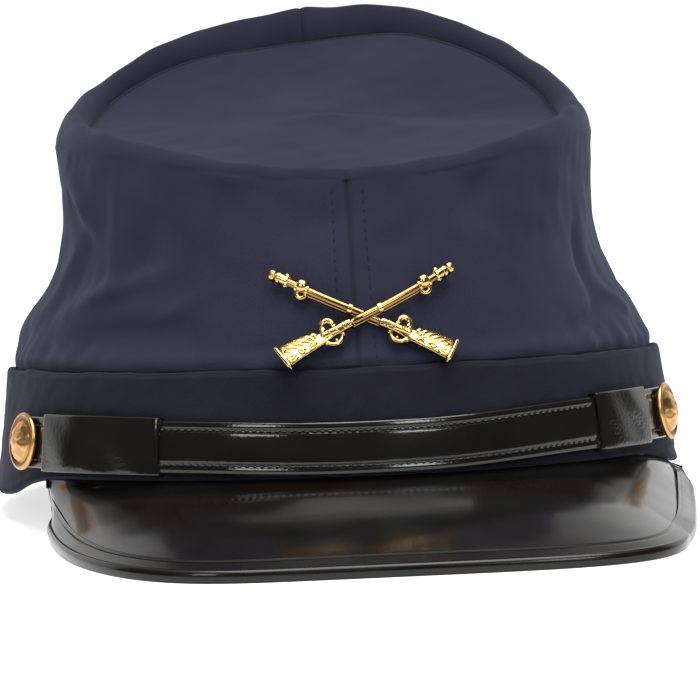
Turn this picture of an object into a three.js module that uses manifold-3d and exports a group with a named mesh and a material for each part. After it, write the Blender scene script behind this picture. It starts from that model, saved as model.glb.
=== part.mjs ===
// A soft kepi cap: a tall cloth crown with a sunken round top, a cloth band, a
// leather chin strap with two sliding keepers and two domed brass buttons, a
// bound leather peak, and a cast badge of two crossed muskets.
//
// Millimetres, +Z up, front of the cap towards -Y. Everything is worked out in a
// "head frame" whose XY plane is the band's lower edge; at the end the whole cap
// is leaned until it stands on the peak's front edge and the back of the band.
import * as THREE from "three";
import { mergeVertices } from "three/addons/utils/BufferGeometryUtils.js";
import Module from "manifold-3d";

const wasm = await Module();
wasm.setup();
const { Manifold, Mesh: SolidMesh } = wasm;

// Sizes in millimetres and degrees.
const gap = 0.3; // clearance between two pieces that touch on the real cap

const band = {
  halfWidth: 92.8,
  halfLength: 98,
  height: 32,
  taper: 3.8, // the upper edge is drawn in by this much
  wall: 2.6,
  lift: 4.6, // the lower edge rises this much over the peak,
  liftAngles: [54, 82], // and comes down between these angles from the front
};
const crown = {
  wall: 2, // cloth and its backing
  tuck: 9, // how far the crown reaches down inside the band
  rimHalfWidth: 73.3,
  rimHalfLength: 77,
  rimBack: 5, // the rim's centre is this far behind the band's
  frontHeight: 82.5, // from the band's lower edge to the crest of the rim
  sideHeight: 100,
  backHeight: 130,
  shoulderDroop: 3, // the rim sags beside the back and fills out beside the front
  topThickness: 2,
  topDish: 2.5, // the sunken top's own hollow
  swell: 1.1, // the cloth bulges this far over the band's edge
};
const strap = {
  width: 13.5,
  thickness: 2,
  height: 13.6, // its middle above the band's lower edge, at the sides
  sag: 2.1, // and this much lower at the front
  lift: 0.9, // the right end sits higher by this much
  reachAngle: 66, // from the front to where each end starts to round off
  endAngle: 5.2, // the rounded end
};
const keeper = {
  width: 16,
  thickness: 1.1,
  leftAngles: [-59, -33], // where each keeper has been slid to
  rightAngles: [42, 56.5],
};
const button = { diameter: 15.2, rim: 1.3, dome: 2.6 };
const buttonAngle = strap.reachAngle - 1; // each button holds an end of the strap
const peak = {
  halfWidth: 80.9,
  front: 141, // the front edge's distance ahead of the head frame's centre
  drop: 14.8, // the front edge's distance below the band's lower edge
  corner: [3.3, 6], // roundness of the plan, left and right: 2 is an ellipse, more is squarer
  sideEnd: [25, 8], // where the plan's sides end, ahead of the centre, left and right
  rootAngles: [-66, 76], // where the peak's root ends on the band
  foldLine: 33.2, // where the peak's slope meets the band's lower edge, ahead of the centre
  curl: 0.5, // under 1, the slope eases towards the front
  shift: 1.2, // the peak is sewn this far to the wearer's left
  flare: 8.3, // and its left side spreads out by this much towards the band,
  flareFrom: 110, // starting this far ahead of the centre,
  flareSpan: 65, // within this distance
  thickness: 2,
  arch: 1.8,
};
const binding = { width: 5.6, thickness: 0.9 };
const badge = {
  halfLength: 26, // of each musket
  relief: 1.6,
  back: 1.6,
  height: 43.6, // its middle above the band's lower edge
  angle: 1.8, // its middle beside the front seam
  lean: 24.3, // each musket's slope
};
const pressed = 0.5; // how far the band and the peak's edge are pressed flat where they stand

// Rim rolled over the sunken top, by angle from the front: how far in its crest
// is, how far its shoulder is below the crest, and how far its inner lip goes in
// and down again.
const rimRoll = [
  { at: 0, crestIn: 2.6, shoulderDrop: 3.2, lipIn: 2.4, lipDown: 2.6 },
  { at: 45, crestIn: 3.6, shoulderDrop: 4.5, lipIn: 2.8, lipDown: 3.2 },
  { at: 90, crestIn: 5.6, shoulderDrop: 8.5, lipIn: 3.6, lipDown: 4.6 },
  { at: 135, crestIn: 5.4, shoulderDrop: 8.0, lipIn: 3.8, lipDown: 6.6 },
  { at: 180, crestIn: 4.6, shoulderDrop: 6.5, lipIn: 3.8, lipDown: 11.0 },
];
// The worn rim isn't even: its crest is higher or lower than the plain curve by
// this much, by angle from the front and positive to the wearer's left.
const crestRise = [
  { at: -180, rise: 0.4 },
  { at: -168, rise: -0.8 },
  { at: -158, rise: -0.2 },
  { at: -148, rise: 0.7 },
  { at: -136, rise: 1.3 },
  { at: -120, rise: 1.3 },
  { at: -90, rise: 0 },
  { at: 0, rise: 0 },
  { at: 90, rise: 0.2 },
  { at: 104, rise: 3 },
  { at: 116, rise: 4.8 },
  { at: 130, rise: 6 },
  { at: 144, rise: 5.8 },
  { at: 155, rise: 4.6 },
  { at: 165, rise: 2.3 },
  { at: 174, rise: 0.9 },
  { at: 180, rise: 0.4 },
];
// The side walls draw in quickly above the band, then stand straight.
const waist = [
  { up: 0, drawnIn: 0 },
  { up: 0.12, drawnIn: 0.17 },
  { up: 0.25, drawnIn: 0.42 },
  { up: 0.38, drawnIn: 0.78 },
  { up: 0.52, drawnIn: 1.0 },
  { up: 0.66, drawnIn: 1.06 },
  { up: 0.85, drawnIn: 1.03 },
  { up: 1, drawnIn: 1 },
];
// Soft folds and dents of the crown: angle from the front, share of the wall's
// height, depth out (+) or in (-), how long and how wide, and the fold's turn.
const folds = [
  { angle: -64, up: 0.74, out: 2.2, long: 16, wide: 4.5, turn: -35 },
  { angle: -88, up: 0.17, out: 2.2, long: 20, wide: 7, turn: 0 },
  { angle: -45, up: 0.58, out: -2.6, long: 13, wide: 8, turn: 60 },
  { angle: -50, up: 0.36, out: 2.4, long: 17, wide: 4, turn: 15 },
  { angle: -46, up: 0.17, out: -2.6, long: 17, wide: 5, turn: 5 },
  { angle: -24, up: 0.84, out: -1.3, long: 10, wide: 7, turn: 0 },
  { angle: -7, up: 0.76, out: -1.0, long: 11, wide: 6, turn: 10 },
  { angle: 27, up: 0.82, out: -1.7, long: 9, wide: 7, turn: 50 },
  { angle: 58, up: 0.34, out: -1.4, long: 12, wide: 4, turn: 75 },
  { angle: 100, up: 0.4, out: 1.6, long: 20, wide: 6, turn: 10 },
  { angle: 128, up: 0.5, out: -2.2, long: 22, wide: 9, turn: -30 },
  { angle: 165, up: 0.36, out: 1.8, long: 26, wide: 7, turn: 8 },
  { angle: -165, up: 0.55, out: -2.0, long: 24, wide: 9, turn: 25 },
  { angle: -125, up: 0.42, out: 2.0, long: 22, wide: 7, turn: -15 },
  { angle: -100, up: 0.62, out: -1.6, long: 16, wide: 8, turn: 30 },
];

const foldReach = { around: 80, up: 60 }; // mm round the wall in one radian, and up it

// Small helpers.
const rad = THREE.MathUtils.degToRad;
const deg = THREE.MathUtils.radToDeg;
const lerp = THREE.MathUtils.lerp;
const V = (x, y, z) => new THREE.Vector3(x, y, z);
const smooth = (x, a, b) => THREE.MathUtils.smoothstep(x, a, b);

// Value of one column of a table at x, on a smooth curve through its rows.
function along(table, key, column, x) {
  const n = table.length;
  let i = 0;
  while (i < n - 2 && x > table[i + 1][key]) i++;
  const x0 = table[i][key],
    x1 = table[i + 1][key];
  const t = THREE.MathUtils.clamp((x - x0) / (x1 - x0), 0, 1);
  const slope = (k) => {
    const a = Math.max(0, k - 1),
      b = Math.min(n - 1, k + 1);
    return (table[b][column] - table[a][column]) / (table[b][key] - table[a][key]);
  };
  const h = x1 - x0,
    t2 = t * t,
    t3 = t2 * t;
  return (
    (2 * t3 - 3 * t2 + 1) * table[i][column] +
    (t3 - 2 * t2 + t) * h * slope(i) +
    (3 * t2 - 2 * t3) * table[i + 1][column] +
    (t3 - t2) * h * slope(i + 1)
  );
}

// A closed solid through a row of closed loops. It is joined round, or else its
// ends are closed by the flat outlines that its first and last loop fill.
function loft(loops, firstOutline, lastOutline = firstOutline) {
  const n = loops[0].length,
    position = [],
    index = [];
  for (const loop of loops) for (const p of loop) position.push(p.x, p.y, p.z);
  const last = firstOutline ? loops.length - 1 : loops.length;
  for (let i = 0; i < last; i++) {
    const a = i * n,
      b = ((i + 1) % loops.length) * n;
    for (let k = 0; k < n; k++) {
      const l = (k + 1) % n;
      index.push(a + k, b + k, b + l, a + k, b + l, a + l);
    }
  }
  const close = (outline, start, facesOn) => {
    const sameWay = THREE.ShapeUtils.isClockWise(outline) === facesOn;
    for (const [a, b, c] of THREE.ShapeUtils.triangulateShape(outline, []))
      index.push(start + a, start + (sameWay ? b : c), start + (sameWay ? c : b));
  };
  if (firstOutline) {
    close(firstOutline, 0, false);
    close(lastOutline, last * n, true);
  }
  return solid(position, index);
}

function solid(position, index) {
  const make = (tri) =>
    new Manifold(
      new SolidMesh({
        numProp: 3,
        vertProperties: new Float32Array(position),
        triVerts: new Uint32Array(tri),
      }),
    );
  const made = make(index);
  if (made.volume() > 0) return made;
  const turned = [];
  for (let i = 0; i < index.length; i += 3)
    turned.push(index[i], index[i + 2], index[i + 1]);
  return make(turned);
}

// A three.js geometry as a solid.
function solidOf(geometry) {
  const bare = new THREE.BufferGeometry()
    .setAttribute("position", geometry.getAttribute("position"))
    .setIndex(geometry.index);
  const g = mergeVertices(bare.index ? bare.toNonIndexed() : bare, 1e-4);
  return solid([...g.attributes.position.array], [...g.index.array]);
}

// Loops round a sheet that is given by rows of points and thickened inwards. The
// first and last row only give their neighbours' direction and get no loop.
function thicken(rows, thickness) {
  const most = rows[0].length - 1;
  return rows.slice(1, -1).map((row, i) => {
    const inner = row.map((p, k) => {
      const du = rows[i + 2][k].clone().sub(rows[i][k]);
      const dv = row[Math.min(k + 1, most)].clone().sub(row[Math.max(k - 1, 0)]);
      return p.clone().addScaledVector(du.cross(dv).normalize(), -thickness);
    });
    return [...row, ...inner.reverse()];
  });
}

// The surfaces that the pieces share.
// Outer face of the band: angle from the front in degrees, height, distance out.
function bandFace(angle, z, out = 0) {
  const a = rad(angle),
    draw = (band.taper * z) / band.height;
  const point = V(
    (band.halfWidth - draw) * Math.sin(a),
    -(band.halfLength - draw) * Math.cos(a),
    z,
  );
  const normal = V(
    Math.sin(a) / band.halfWidth,
    -Math.cos(a) / band.halfLength,
    0,
  ).normalize();
  normal.z = band.taper / band.height;
  return point.addScaledVector(normal.normalize(), out);
}

// Height of the rim's crest at an angle from the front.
function crestHeight(angle) {
  const a = rad(angle),
    c = crown;
  const mean = (c.frontHeight + c.backHeight) / 2;
  const even = (mean - c.sideHeight) / 2;
  const swing = (c.backHeight - c.frontHeight) / 2 - c.shoulderDroop;
  return (
    mean -
    even -
    swing * Math.cos(a) +
    even * Math.cos(2 * a) -
    c.shoulderDroop * Math.cos(3 * a) +
    along(crestRise, "at", "rise", THREE.MathUtils.euclideanModulo(angle + 180, 360) - 180)
  );
}

// The rolled rim's sizes at an angle on either side.
function roll(angle) {
  const at = Math.min(Math.abs(angle), 360 - Math.abs(angle));
  const [crestIn, shoulderDrop, lipIn, lipDown] = [
    "crestIn", "shoulderDrop", "lipIn", "lipDown",
  ].map((column) => along(rimRoll, "at", column, at));
  return { crestIn, shoulderDrop, lipIn, lipDown };
}

// Point of the crown's rim, drawn in from the rim's outline.
function rimPoint(angle, inset, z) {
  const a = rad(angle);
  return V(
    (crown.rimHalfWidth - inset) * Math.sin(a),
    crown.rimBack - (crown.rimHalfLength - inset) * Math.cos(a),
    z,
  );
}

// Sum of the folds at a place of the wall.
function foldOut(angle, up) {
  let out = 0;
  for (const f of folds) {
    const around = ((((angle - f.angle) % 360) + 540) % 360) - 180;
    const x = rad(around) * foldReach.around,
      y = (up - f.up) * foldReach.up;
    const c = Math.cos(rad(f.turn)),
      s = Math.sin(rad(f.turn));
    const u = (x * c + y * s) / f.long,
      v = (y * c - x * s) / f.wide;
    out += f.out * Math.exp(-(u * u + v * v));
  }
  return out * smooth(up, 0.0, 0.1) * (1 - smooth(up, 0.93, 1));
}

// Outer face of the crown's wall, from the band's top (0) to the shoulder (1).
function wallFace(angle, up) {
  const side = Math.sin(rad(angle)) ** 2;
  const drawn = lerp(Math.max(up, 0) ** 0.92, along(waist, "up", "drawnIn", up), side);
  const foot = bandFace(angle, band.height, -band.wall - gap);
  const top = rimPoint(angle, 0, crestHeight(angle) - roll(angle).shoulderDrop);
  const z = lerp(band.height, top.z, up);
  const p = V(lerp(foot.x, top.x, drawn), lerp(foot.y, top.y, drawn), z);
  const out = foldOut(angle, up) + crown.swell * Math.exp(-(((up - 0.05) / 0.045) ** 2));
  const a = rad(angle);
  return p.add(V(Math.sin(a), -Math.cos(a), 0).multiplyScalar(out));
}

// The pieces, one function each.
const angles = (n) => Array.from({ length: n }, (_, i) => -180 + (360 * i) / n);
const shares = (n) => Array.from({ length: n + 1 }, (_, i) => i / n);

// Height of the band's lower edge: it arches over the peak.
function bandFoot(angle) {
  const fromFront = Math.abs(THREE.MathUtils.euclideanModulo(angle + 180, 360) - 180);
  return band.lift * (1 - smooth(fromFront, ...band.liftAngles));
}

function makeBand() {
  const { height: h, wall: w } = band;
  const profile = [
    [-0.8, 0], [0, 0.9], [0, h * 0.35], [0, h * 0.7], [0, h - 1.3], [-0.4, h - 0.4],
    [-w / 2, h], [-w + 0.4, h - 0.4], [-w, h - 1.3], [-w, h * 0.5], [-w, 0.9], [-w + 0.8, 0],
  ];
  return loft(
    angles(66).map((a) =>
      profile.map(([out, z]) => bandFace(a, lerp(bandFoot(a), h, z / h), out)),
    ),
  );
}

// Outside of the crown's side at one angle, from inside the band to the rim's lip.
function crownRow(angle) {
  const { crestIn, shoulderDrop, lipIn, lipDown } = roll(angle);
  const z = crestHeight(angle);
  const row = [];
  for (const s of [0, 0.5]) // tucked into the band
    row.push(bandFace(angle, band.height - crown.tuck * (1 - s), -band.wall - gap));
  for (const up of [0, 0.05, 0.11, 0.2, 0.3, 0.4, 0.5, 0.62, 0.75, 0.88, 1])
    row.push(wallFace(angle, up));
  for (const q of [35, 65, 90]) // over the shoulder to the crest
    row.push(
      rimPoint(
        angle,
        crestIn * (1 - Math.cos(rad(q))),
        z - shoulderDrop * (1 - Math.sin(rad(q))),
      ),
    );
  for (const q of [40, 70, 90]) // and down the inner lip
    row.push(
      rimPoint(
        angle,
        crestIn + lipIn * Math.sin(rad(q)),
        z - lipDown * (1 - Math.cos(rad(q))),
      ),
    );
  return row;
}

// One half of the crown's side, from seam to seam: the angle that it starts at
// is 0 or -180. The halves are sewn together at the front and the back.
function makeCrownHalf(start) {
  const seam = deg(gap / 2 / crown.rimHalfWidth),
    steps = 33,
    step = (180 - 2 * seam) / steps;
  const rows = shares(steps + 2).map((s) =>
    crownRow(start + seam - step + s * step * (steps + 2)),
  );
  const loops = thicken(rows, crown.wall);
  const outline = (loop) => loop.map((p) => new THREE.Vector2(p.y, p.z));
  return loft(loops, outline(loops[0]), outline(loops[steps]));
}

function makeCrownTop() {
  const rings = [1, 0.92, 0.72, 0.42];
  const edge = (angle) => {
    const { crestIn, lipIn, lipDown } = roll(angle);
    return rimPoint(angle, crestIn + lipIn + gap, crestHeight(angle) - lipDown + gap);
  };
  const around = angles(60).map(edge);
  const centre = V(0, 0, 0);
  for (const p of around) centre.addScaledVector(p, 1 / around.length);
  const face = (p, ring, down) => {
    const q = centre.clone().lerp(p, ring);
    q.z -= crown.topDish * (1 - ring * ring) + down;
    return q;
  };
  const t = crown.topThickness,
    n = rings.length,
    m = around.length;
  const points = [face(centre, 0, 0), face(centre, 0, t)];
  for (const p of around)
    points.push(...rings.map((r) => face(p, r, 0)), ...rings.map((r) => face(p, r, t)));
  const index = [];
  for (let i = 0; i < m; i++) {
    const a = 2 + 2 * n * i,
      b = 2 + 2 * n * ((i + 1) % m);
    for (let k = 0; k < n - 1; k++) {
      index.push(a + k, b + k, b + k + 1, a + k, b + k + 1, a + k + 1);
      const c = a + n + k,
        d = b + n + k;
      index.push(c, d + 1, d, c, c + 1, d + 1);
    }
    index.push(a + n - 1, b + n - 1, 0, a + 2 * n - 1, 1, b + 2 * n - 1);
    index.push(a, a + n, b + n, a, b + n, b);
  }
  return solid(points.flatMap((p) => [p.x, p.y, p.z]), index);
}

const strapLine = (angle) =>
  strap.height - strap.sag * Math.cos(rad(angle)) ** 6
  + strap.lift * smooth(angle, 10, strap.reachAngle - 16);

// A ribbon along the band: its outline across is given as [up, out] pairs.
function ribbon(outline, from, to, steps) {
  const plane = outline.map(([y, x]) => new THREE.Vector2(x, y));
  const loops = shares(steps).map((s) => {
    const a = lerp(from, to, s);
    return outline.map(([up, out]) => bandFace(a, strapLine(a) + up, out));
  });
  return loft(loops, plane);
}

function makeStrap() {
  const h = strap.width / 2,
    t = strap.thickness,
    e = 0.5;
  const outline = [
    [-h, gap], [-h, gap + t - e], [-h + e, gap + t], [0, gap + t],
    [h - e, gap + t], [h, gap + t - e], [h, gap], [0, gap],
  ];
  // each end is cut round behind its button
  const plane = outline.map(([y, x]) => new THREE.Vector2(x, y));
  const end = strap.reachAngle + strap.endAngle;
  const loops = shares(44).map((s) => {
    const a = end * Math.sin((s - 0.5) * Math.PI * 0.98);
    const past = Math.max(0, (Math.abs(a) - strap.reachAngle) / (strap.endAngle + 0.1));
    const narrow = Math.sqrt(Math.max(0.04, 1 - past * past));
    return outline.map(([up, out]) => bandFace(a, strapLine(a) + up * narrow, out));
  });
  return loft(loops, plane);
}

function makeKeeper([from, to]) {
  const h = keeper.width / 2,
    inner = strap.width / 2 + gap,
    low = gap,
    lift = strap.thickness + 2 * gap,
    top = lift + keeper.thickness;
  return ribbon(
    [
      [-h, low], [-h, top - 0.5], [-h + 0.5, top], [h - 0.5, top], [h, top - 0.5],
      [h, low], [inner, low], [inner, lift], [-inner, lift], [-inner, low],
    ],
    from,
    to,
    8,
  );
}

function makeButton(angle) {
  const r = button.diameter / 2,
    t = button.rim;
  const profile = [
    [0, 0], [r - 0.6, 0], [r, t * 0.45], [r - 0.3, t], [r - 1.1, t * 0.95],
    [r * 0.72, t + button.dome * 0.28], [r * 0.48, t + button.dome * 0.66],
    [r * 0.24, t + button.dome * 0.84], [0, t + button.dome * 0.9],
  ].map(([x, y]) => new THREE.Vector2(x, y));
  const out = strap.thickness + 2 * gap;
  const foot = bandFace(angle, strapLine(angle), out);
  const tip = bandFace(angle, strapLine(angle), out + 1);
  const turn = new THREE.Quaternion().setFromUnitVectors(
    V(0, 1, 0),
    tip.sub(foot).normalize(),
  );
  const geometry = new THREE.LatheGeometry(profile, 24).applyMatrix4(
    new THREE.Matrix4().compose(foot, turn, V(1, 1, 1)),
  );
  return solidOf(geometry);
}

// The peak's edge, from its left end (u = -1) to its right end (u = 1).
function peakEdge(u) {
  const a = u * (Math.PI / 2),
    right = smooth(Math.sin(a), -1, 1),
    k = 2 / lerp(...peak.corner, right),
    sideEnd = lerp(...peak.sideEnd, right);
  const y = -sideEnd - (peak.front - sideEnd) * Math.abs(Math.cos(a)) ** k;
  const back = THREE.MathUtils.clamp((y + peak.flareFrom) / peak.flareSpan, 0, 1);
  const x = peak.halfWidth * Math.sign(a) * Math.abs(Math.sin(a)) ** k;
  const slope = Math.max(0, (-y - peak.foldLine) / (peak.front - peak.foldLine));
  return V(
    x + peak.shift + peak.flare * right * back,
    y,
    -gap - (peak.drop - gap) * slope ** peak.curl,
  );
}
// u values that space the edge evenly round its tight corners
const peakStations = (() => {
  const fine = shares(800).map((s) => lerp(-0.9999, 0.9999, s));
  const points = fine.map(peakEdge);
  const length = [0];
  for (let i = 1; i < points.length; i++)
    length.push(length[i - 1] + points[i].distanceTo(points[i - 1]));
  const total = length[length.length - 1];
  return shares(72).map((s) => fine[length.findIndex((l) => l >= s * total - 1e-9)]);
})();
// Top face of the peak, from the band (v = 0) to its edge (v = 1), or lower down.
function peakFace(u, v, down = 0) {
  const edge = peakEdge(u);
  const angle = deg(Math.atan2(edge.x / band.halfWidth, -edge.y / band.halfLength));
  const rootAngle = THREE.MathUtils.clamp(angle * 1.04, ...peak.rootAngles);
  const root = bandFace(rootAngle, bandFoot(rootAngle) - gap, -band.wall / 2);
  const p = root.clone().lerp(edge, v);
  const share = root.distanceTo(edge) / (peak.front - band.halfLength);
  p.z += peak.arch * share ** 2 * Math.sin(Math.PI * v) - down;
  return p;
}

function makePeak() {
  const rows = [0, 0.2, 0.4, 0.6, 0.7, 0.8, 0.88, 0.94, 1];
  const loops = peakStations.map((u) => [
    ...rows.map((v) => peakFace(u, v)),
    ...rows.map((v) => peakFace(u, v, peak.thickness)).reverse(),
  ]);
  const plane = [
    ...rows.map((v) => new THREE.Vector2(v, 0)),
    ...rows.map((v) => new THREE.Vector2(v, -1)).reverse(),
  ];
  return loft(loops, plane);
}

function makeBinding() {
  const t = binding.thickness,
    b = peak.thickness;
  // it stops where the edge goes in under the band
  const stations = peakStations.filter((u) => -peakEdge(u).y > peak.foldLine + b * 2);
  const loops = stations.map((u, i) => {
    const fromEnd = Math.min(i, stations.length - 1 - i);
    const edge = peakFace(u, 1),
      root = peakFace(u, 0);
    const length = edge.distanceTo(root);
    const w = Math.min(binding.width, length * 0.55) * Math.min(1, 0.15 + fromEnd / 3);
    const onward = peakEdge(Math.min(u + 0.002, 1)).sub(peakEdge(Math.max(u - 0.002, -1)));
    const away = V(onward.y, -onward.x, 0).normalize();
    const at = (inward, up) => {
      const p = peakFace(u, 1 - Math.max(inward, 0) / length);
      p.addScaledVector(away, Math.max(-inward, 0));
      p.z += up;
      return p;
    };
    return [
      at(w, gap), at(w, gap + t * 0.8), at(w * 0.9, gap + t), at(w * 0.45, gap + t),
      at(0, gap + t * 0.9), at(-gap - t * 0.75, gap * 0.4 + t * 0.1), at(-gap - t, -b / 2),
      at(-gap - t * 0.75, -b - t * 0.1), at(0, -b - gap - t), at(w, -b - gap - t),
      at(w, -b - gap), at(0, -b - gap), at(-gap, -b / 2), at(0, gap),
    ];
  });
  const w = 1;
  const plane = [
    [w, 0.1], [w, 0.38], [w * 0.9, 0.42], [w * 0.45, 0.42], [0, 0.4], [-0.3, 0.1],
    [-0.4, -0.4], [-0.3, -0.9], [0, -1.3], [w, -1.3], [w, -1], [0, -1], [-0.1, -0.4],
    [0, 0.1],
  ].map(([x, y]) => new THREE.Vector2(x, y));
  return loft(loops, plane);
}

// One musket of the badge, flat: x along the barrel towards the muzzle, y up,
// z the relief. Both muskets are cast as one piece with their loops and guards.
function musket(lift, flip) {
  const L = badge.halfLength,
    r = badge.relief;
  const rod = (x0, x1, radius, sides = 7) =>
    Manifold.cylinder(x1 - x0, radius, radius, sides)
      .rotate([0, 90, 0])
      .translate([x0, 0, 0]);
  const ball = (x, y, radius) =>
    Manifold.sphere(radius, 8).translate([x, y, 0]);
  const plate = (points, height) => {
    const shape = new THREE.Shape(points.map(([x, y]) => new THREE.Vector2(x, y)));
    return solidOf(
      new THREE.ExtrudeGeometry(shape, { depth: height, bevelEnabled: false }),
    ).translate([0, 0, -height / 2]);
  };
  const ring = (x, y, radius, wire) =>
    solidOf(new THREE.TorusGeometry(radius, wire, 5, 9)).translate([x, y, 0]);
  const muzzle = L - 0.9;
  const parts = [
    rod(-6, muzzle, 1.05),
    rod(muzzle, L, 1.45),
    rod(L - 5.2, L - 1.6, 1.3),
    ball(L - 4.4, 1.2, 0.85),
    ball(L * 0.65, 0.3, 1.75),
    ring(L * 0.64, -1.7, 1.25, 0.45),
    rod(L * 0.1, L * 0.16, 1.4),
    rod(-L * 0.28, -L * 0.24, 1.4),
    plate(
      [
        [-4.5, -1.15], [-L * 0.4, -1.4], [-L * 0.52, -2.1], [-L * 0.76, -3.5],
        [-L * 0.92, -4.8], [-L * 0.96, 2], [-L * 0.76, 2.4], [-L * 0.65, 2.2],
        [-L * 0.57, 1.2], [-4.5, 1.15],
      ],
      r * 1.5,
    ),
    plate(
      [[-L * 0.93, -5.1], [-L * 0.88, -4.9], [-L * 0.92, 2.3], [-L * 0.97, 2.2]],
      r * 1.9,
    ),
    ring(-L * 0.415, 1.9, 1.35, 0.6), // hammer
    ring(-L * 0.4, -1.7, 1.6, 0.5), // trigger guard
    ball(-L * 0.415, 0.2, 1.4),
    // raised scrolls on the stock
    ring(-L * 0.7, 0.4, 0.95, 0.4).translate([0, 0, r * 0.62]),
    ring(-L * 0.83, -1.6, 1.1, 0.4).translate([0, 0, r * 0.62]),
  ];
  let made = Manifold.union(parts).translate([0, 0, r / 2 + lift]);
  made = made.rotate([0, 0, badge.lean]);
  return flip ? made.mirror([1, 0, 0]) : made;
}

function makeBadge() {
  const both = Manifold.union([musket(0.5, false), musket(-0.1, true)]);
  const centreUp = badge.height;
  // Lay the flat casting on the wall's front, bent to it as a pinned badge is.
  const upOf = (z) => {
    let lo = 0, hi = 1;
    for (let i = 0; i < 24; i++) {
      const mid = (lo + hi) / 2;
      if (wallFace(0, mid).z < z) lo = mid;
      else hi = mid;
    }
    return (lo + hi) / 2;
  };
  const slope = upOf(centreUp + 1) - upOf(centreUp - 1);
  const up0 = upOf(centreUp);
  const radius = -wallFace(0, up0).y;
  const tall = wallFace(0, up0 + slope / 2).distanceTo(wallFace(0, up0 - slope / 2)) / 2;
  return both.warp((p) => {
    const up = up0 + ((p[1] / tall) * slope) / 2;
    const angle = badge.angle + deg(p[0] / radius);
    const at = wallFace(angle, up);
    const du = wallFace(angle + 2, up).sub(wallFace(angle - 2, up));
    const dv = wallFace(angle, up + 0.03).sub(wallFace(angle, up - 0.03));
    const out = du.cross(dv).normalize();
    // its lower ends lie over the band's folded edge
    const clear = gap + (band.wall + gap) * (1 - smooth(up, 0.02, 0.2));
    at.addScaledVector(out, p[2] + badge.back + clear);
    [p[0], p[1], p[2]] = [at.x, at.y, at.z];
  });
}

// How it stands.
// The cap stands on the underside of the peak's front edge and on the back of
// the band; the lean between the two is the head frame's tilt.
const frontFoot = V(
  0,
  -peak.front,
  -peak.drop - peak.thickness - gap - binding.thickness,
);
const backFoot = V(0, band.halfLength, 0);
const tilt = Math.atan2(backFoot.z - frontFoot.z, backFoot.y - frontFoot.y);
const lean = new THREE.Matrix4().makeRotationX(-tilt);
const floor = frontFoot.clone().applyMatrix4(lean).z + pressed;
const rest = new THREE.Matrix4().makeTranslation(0, 0, -floor).multiply(lean);

const cloth = { color: 0x34364a, roughness: 0.92 };
const patent = { color: 0x12100f, roughness: 0.16 };
const brass = { color: 0xc9994a, roughness: 0.28, metalness: 1 };

// Each piece: its name, its solid, its look, and whether it stands on the floor.
const pieces = [
  ["band", makeBand(), { ...cloth, color: 0x2c2b36 }, true],
  ["crown_left", makeCrownHalf(-180), cloth],
  ["crown_right", makeCrownHalf(0), cloth],
  ["crown_top", makeCrownTop(), cloth],
  ["peak", makePeak(), patent],
  ["peak_binding", makeBinding(), patent, true],
  ["chin_strap", makeStrap(), patent],
  ["keeper_left", makeKeeper(keeper.leftAngles), patent],
  ["keeper_right", makeKeeper(keeper.rightAngles), patent],
  ["button_left", makeButton(-buttonAngle), brass],
  ["button_right", makeButton(buttonAngle), brass],
  ["badge", makeBadge(), brass],
].map(([name, made, look, stands]) => {
  const placed = made.transform([...rest.elements]);
  return { name, look, solid: stands ? placed.trimByPlane([0, 0, 1], 0) : placed };
});

// The origin is the middle of the bounding box's underside.
const box = new THREE.Box3();
for (const { solid: s } of pieces) {
  const { min, max } = s.boundingBox();
  box.expandByPoint(V(...min)).expandByPoint(V(...max));
}
const centre = box.getCenter(V(0, 0, 0));

const cap = new THREE.Group();
cap.name = "kepi_cap";
for (const { name, look, solid: s } of pieces) {
  const { vertProperties, triVerts } = s.translate([-centre.x, -centre.y, 0]).getMesh();
  const geometry = new THREE.BufferGeometry()
    .setAttribute("position", new THREE.BufferAttribute(vertProperties, 3))
    .setIndex(new THREE.BufferAttribute(triVerts, 1));
  geometry.computeVertexNormals();
  const piece = new THREE.Mesh(geometry, new THREE.MeshStandardMaterial(look));
  piece.name = name;
  cap.add(piece);
}

export default cap;
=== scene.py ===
# %% [markdown]
# # A soft kepi, dressed over its CAD frame
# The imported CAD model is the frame: it says where every piece is and how large. Each piece of the
# real cap is then made again as a fine surface worked out with numpy, with its folds, seams and
# stitches, and a procedural material. All lengths below are millimetres until the last step.

# %% The frame
import math

import bpy
import numpy as np
from mathutils import Matrix, Vector


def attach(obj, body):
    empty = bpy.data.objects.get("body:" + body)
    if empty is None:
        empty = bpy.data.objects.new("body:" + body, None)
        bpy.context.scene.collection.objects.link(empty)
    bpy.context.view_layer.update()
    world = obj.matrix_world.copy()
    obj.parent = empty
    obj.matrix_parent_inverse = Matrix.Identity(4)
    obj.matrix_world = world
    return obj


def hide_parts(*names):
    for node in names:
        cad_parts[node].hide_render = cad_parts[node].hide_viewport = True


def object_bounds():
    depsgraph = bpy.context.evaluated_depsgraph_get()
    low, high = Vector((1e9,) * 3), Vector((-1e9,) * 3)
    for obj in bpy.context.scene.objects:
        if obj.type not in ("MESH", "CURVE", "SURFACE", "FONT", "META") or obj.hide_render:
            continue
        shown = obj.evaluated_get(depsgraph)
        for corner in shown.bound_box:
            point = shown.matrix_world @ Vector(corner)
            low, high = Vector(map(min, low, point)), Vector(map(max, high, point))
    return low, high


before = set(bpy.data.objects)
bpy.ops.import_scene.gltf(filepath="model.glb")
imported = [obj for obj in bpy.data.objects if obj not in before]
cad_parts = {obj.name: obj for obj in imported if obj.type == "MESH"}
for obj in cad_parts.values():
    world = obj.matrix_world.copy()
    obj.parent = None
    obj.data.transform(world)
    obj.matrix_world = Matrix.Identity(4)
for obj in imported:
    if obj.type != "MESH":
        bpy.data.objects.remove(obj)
CAD_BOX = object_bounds()
print("CAD box", CAD_BOX)

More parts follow.
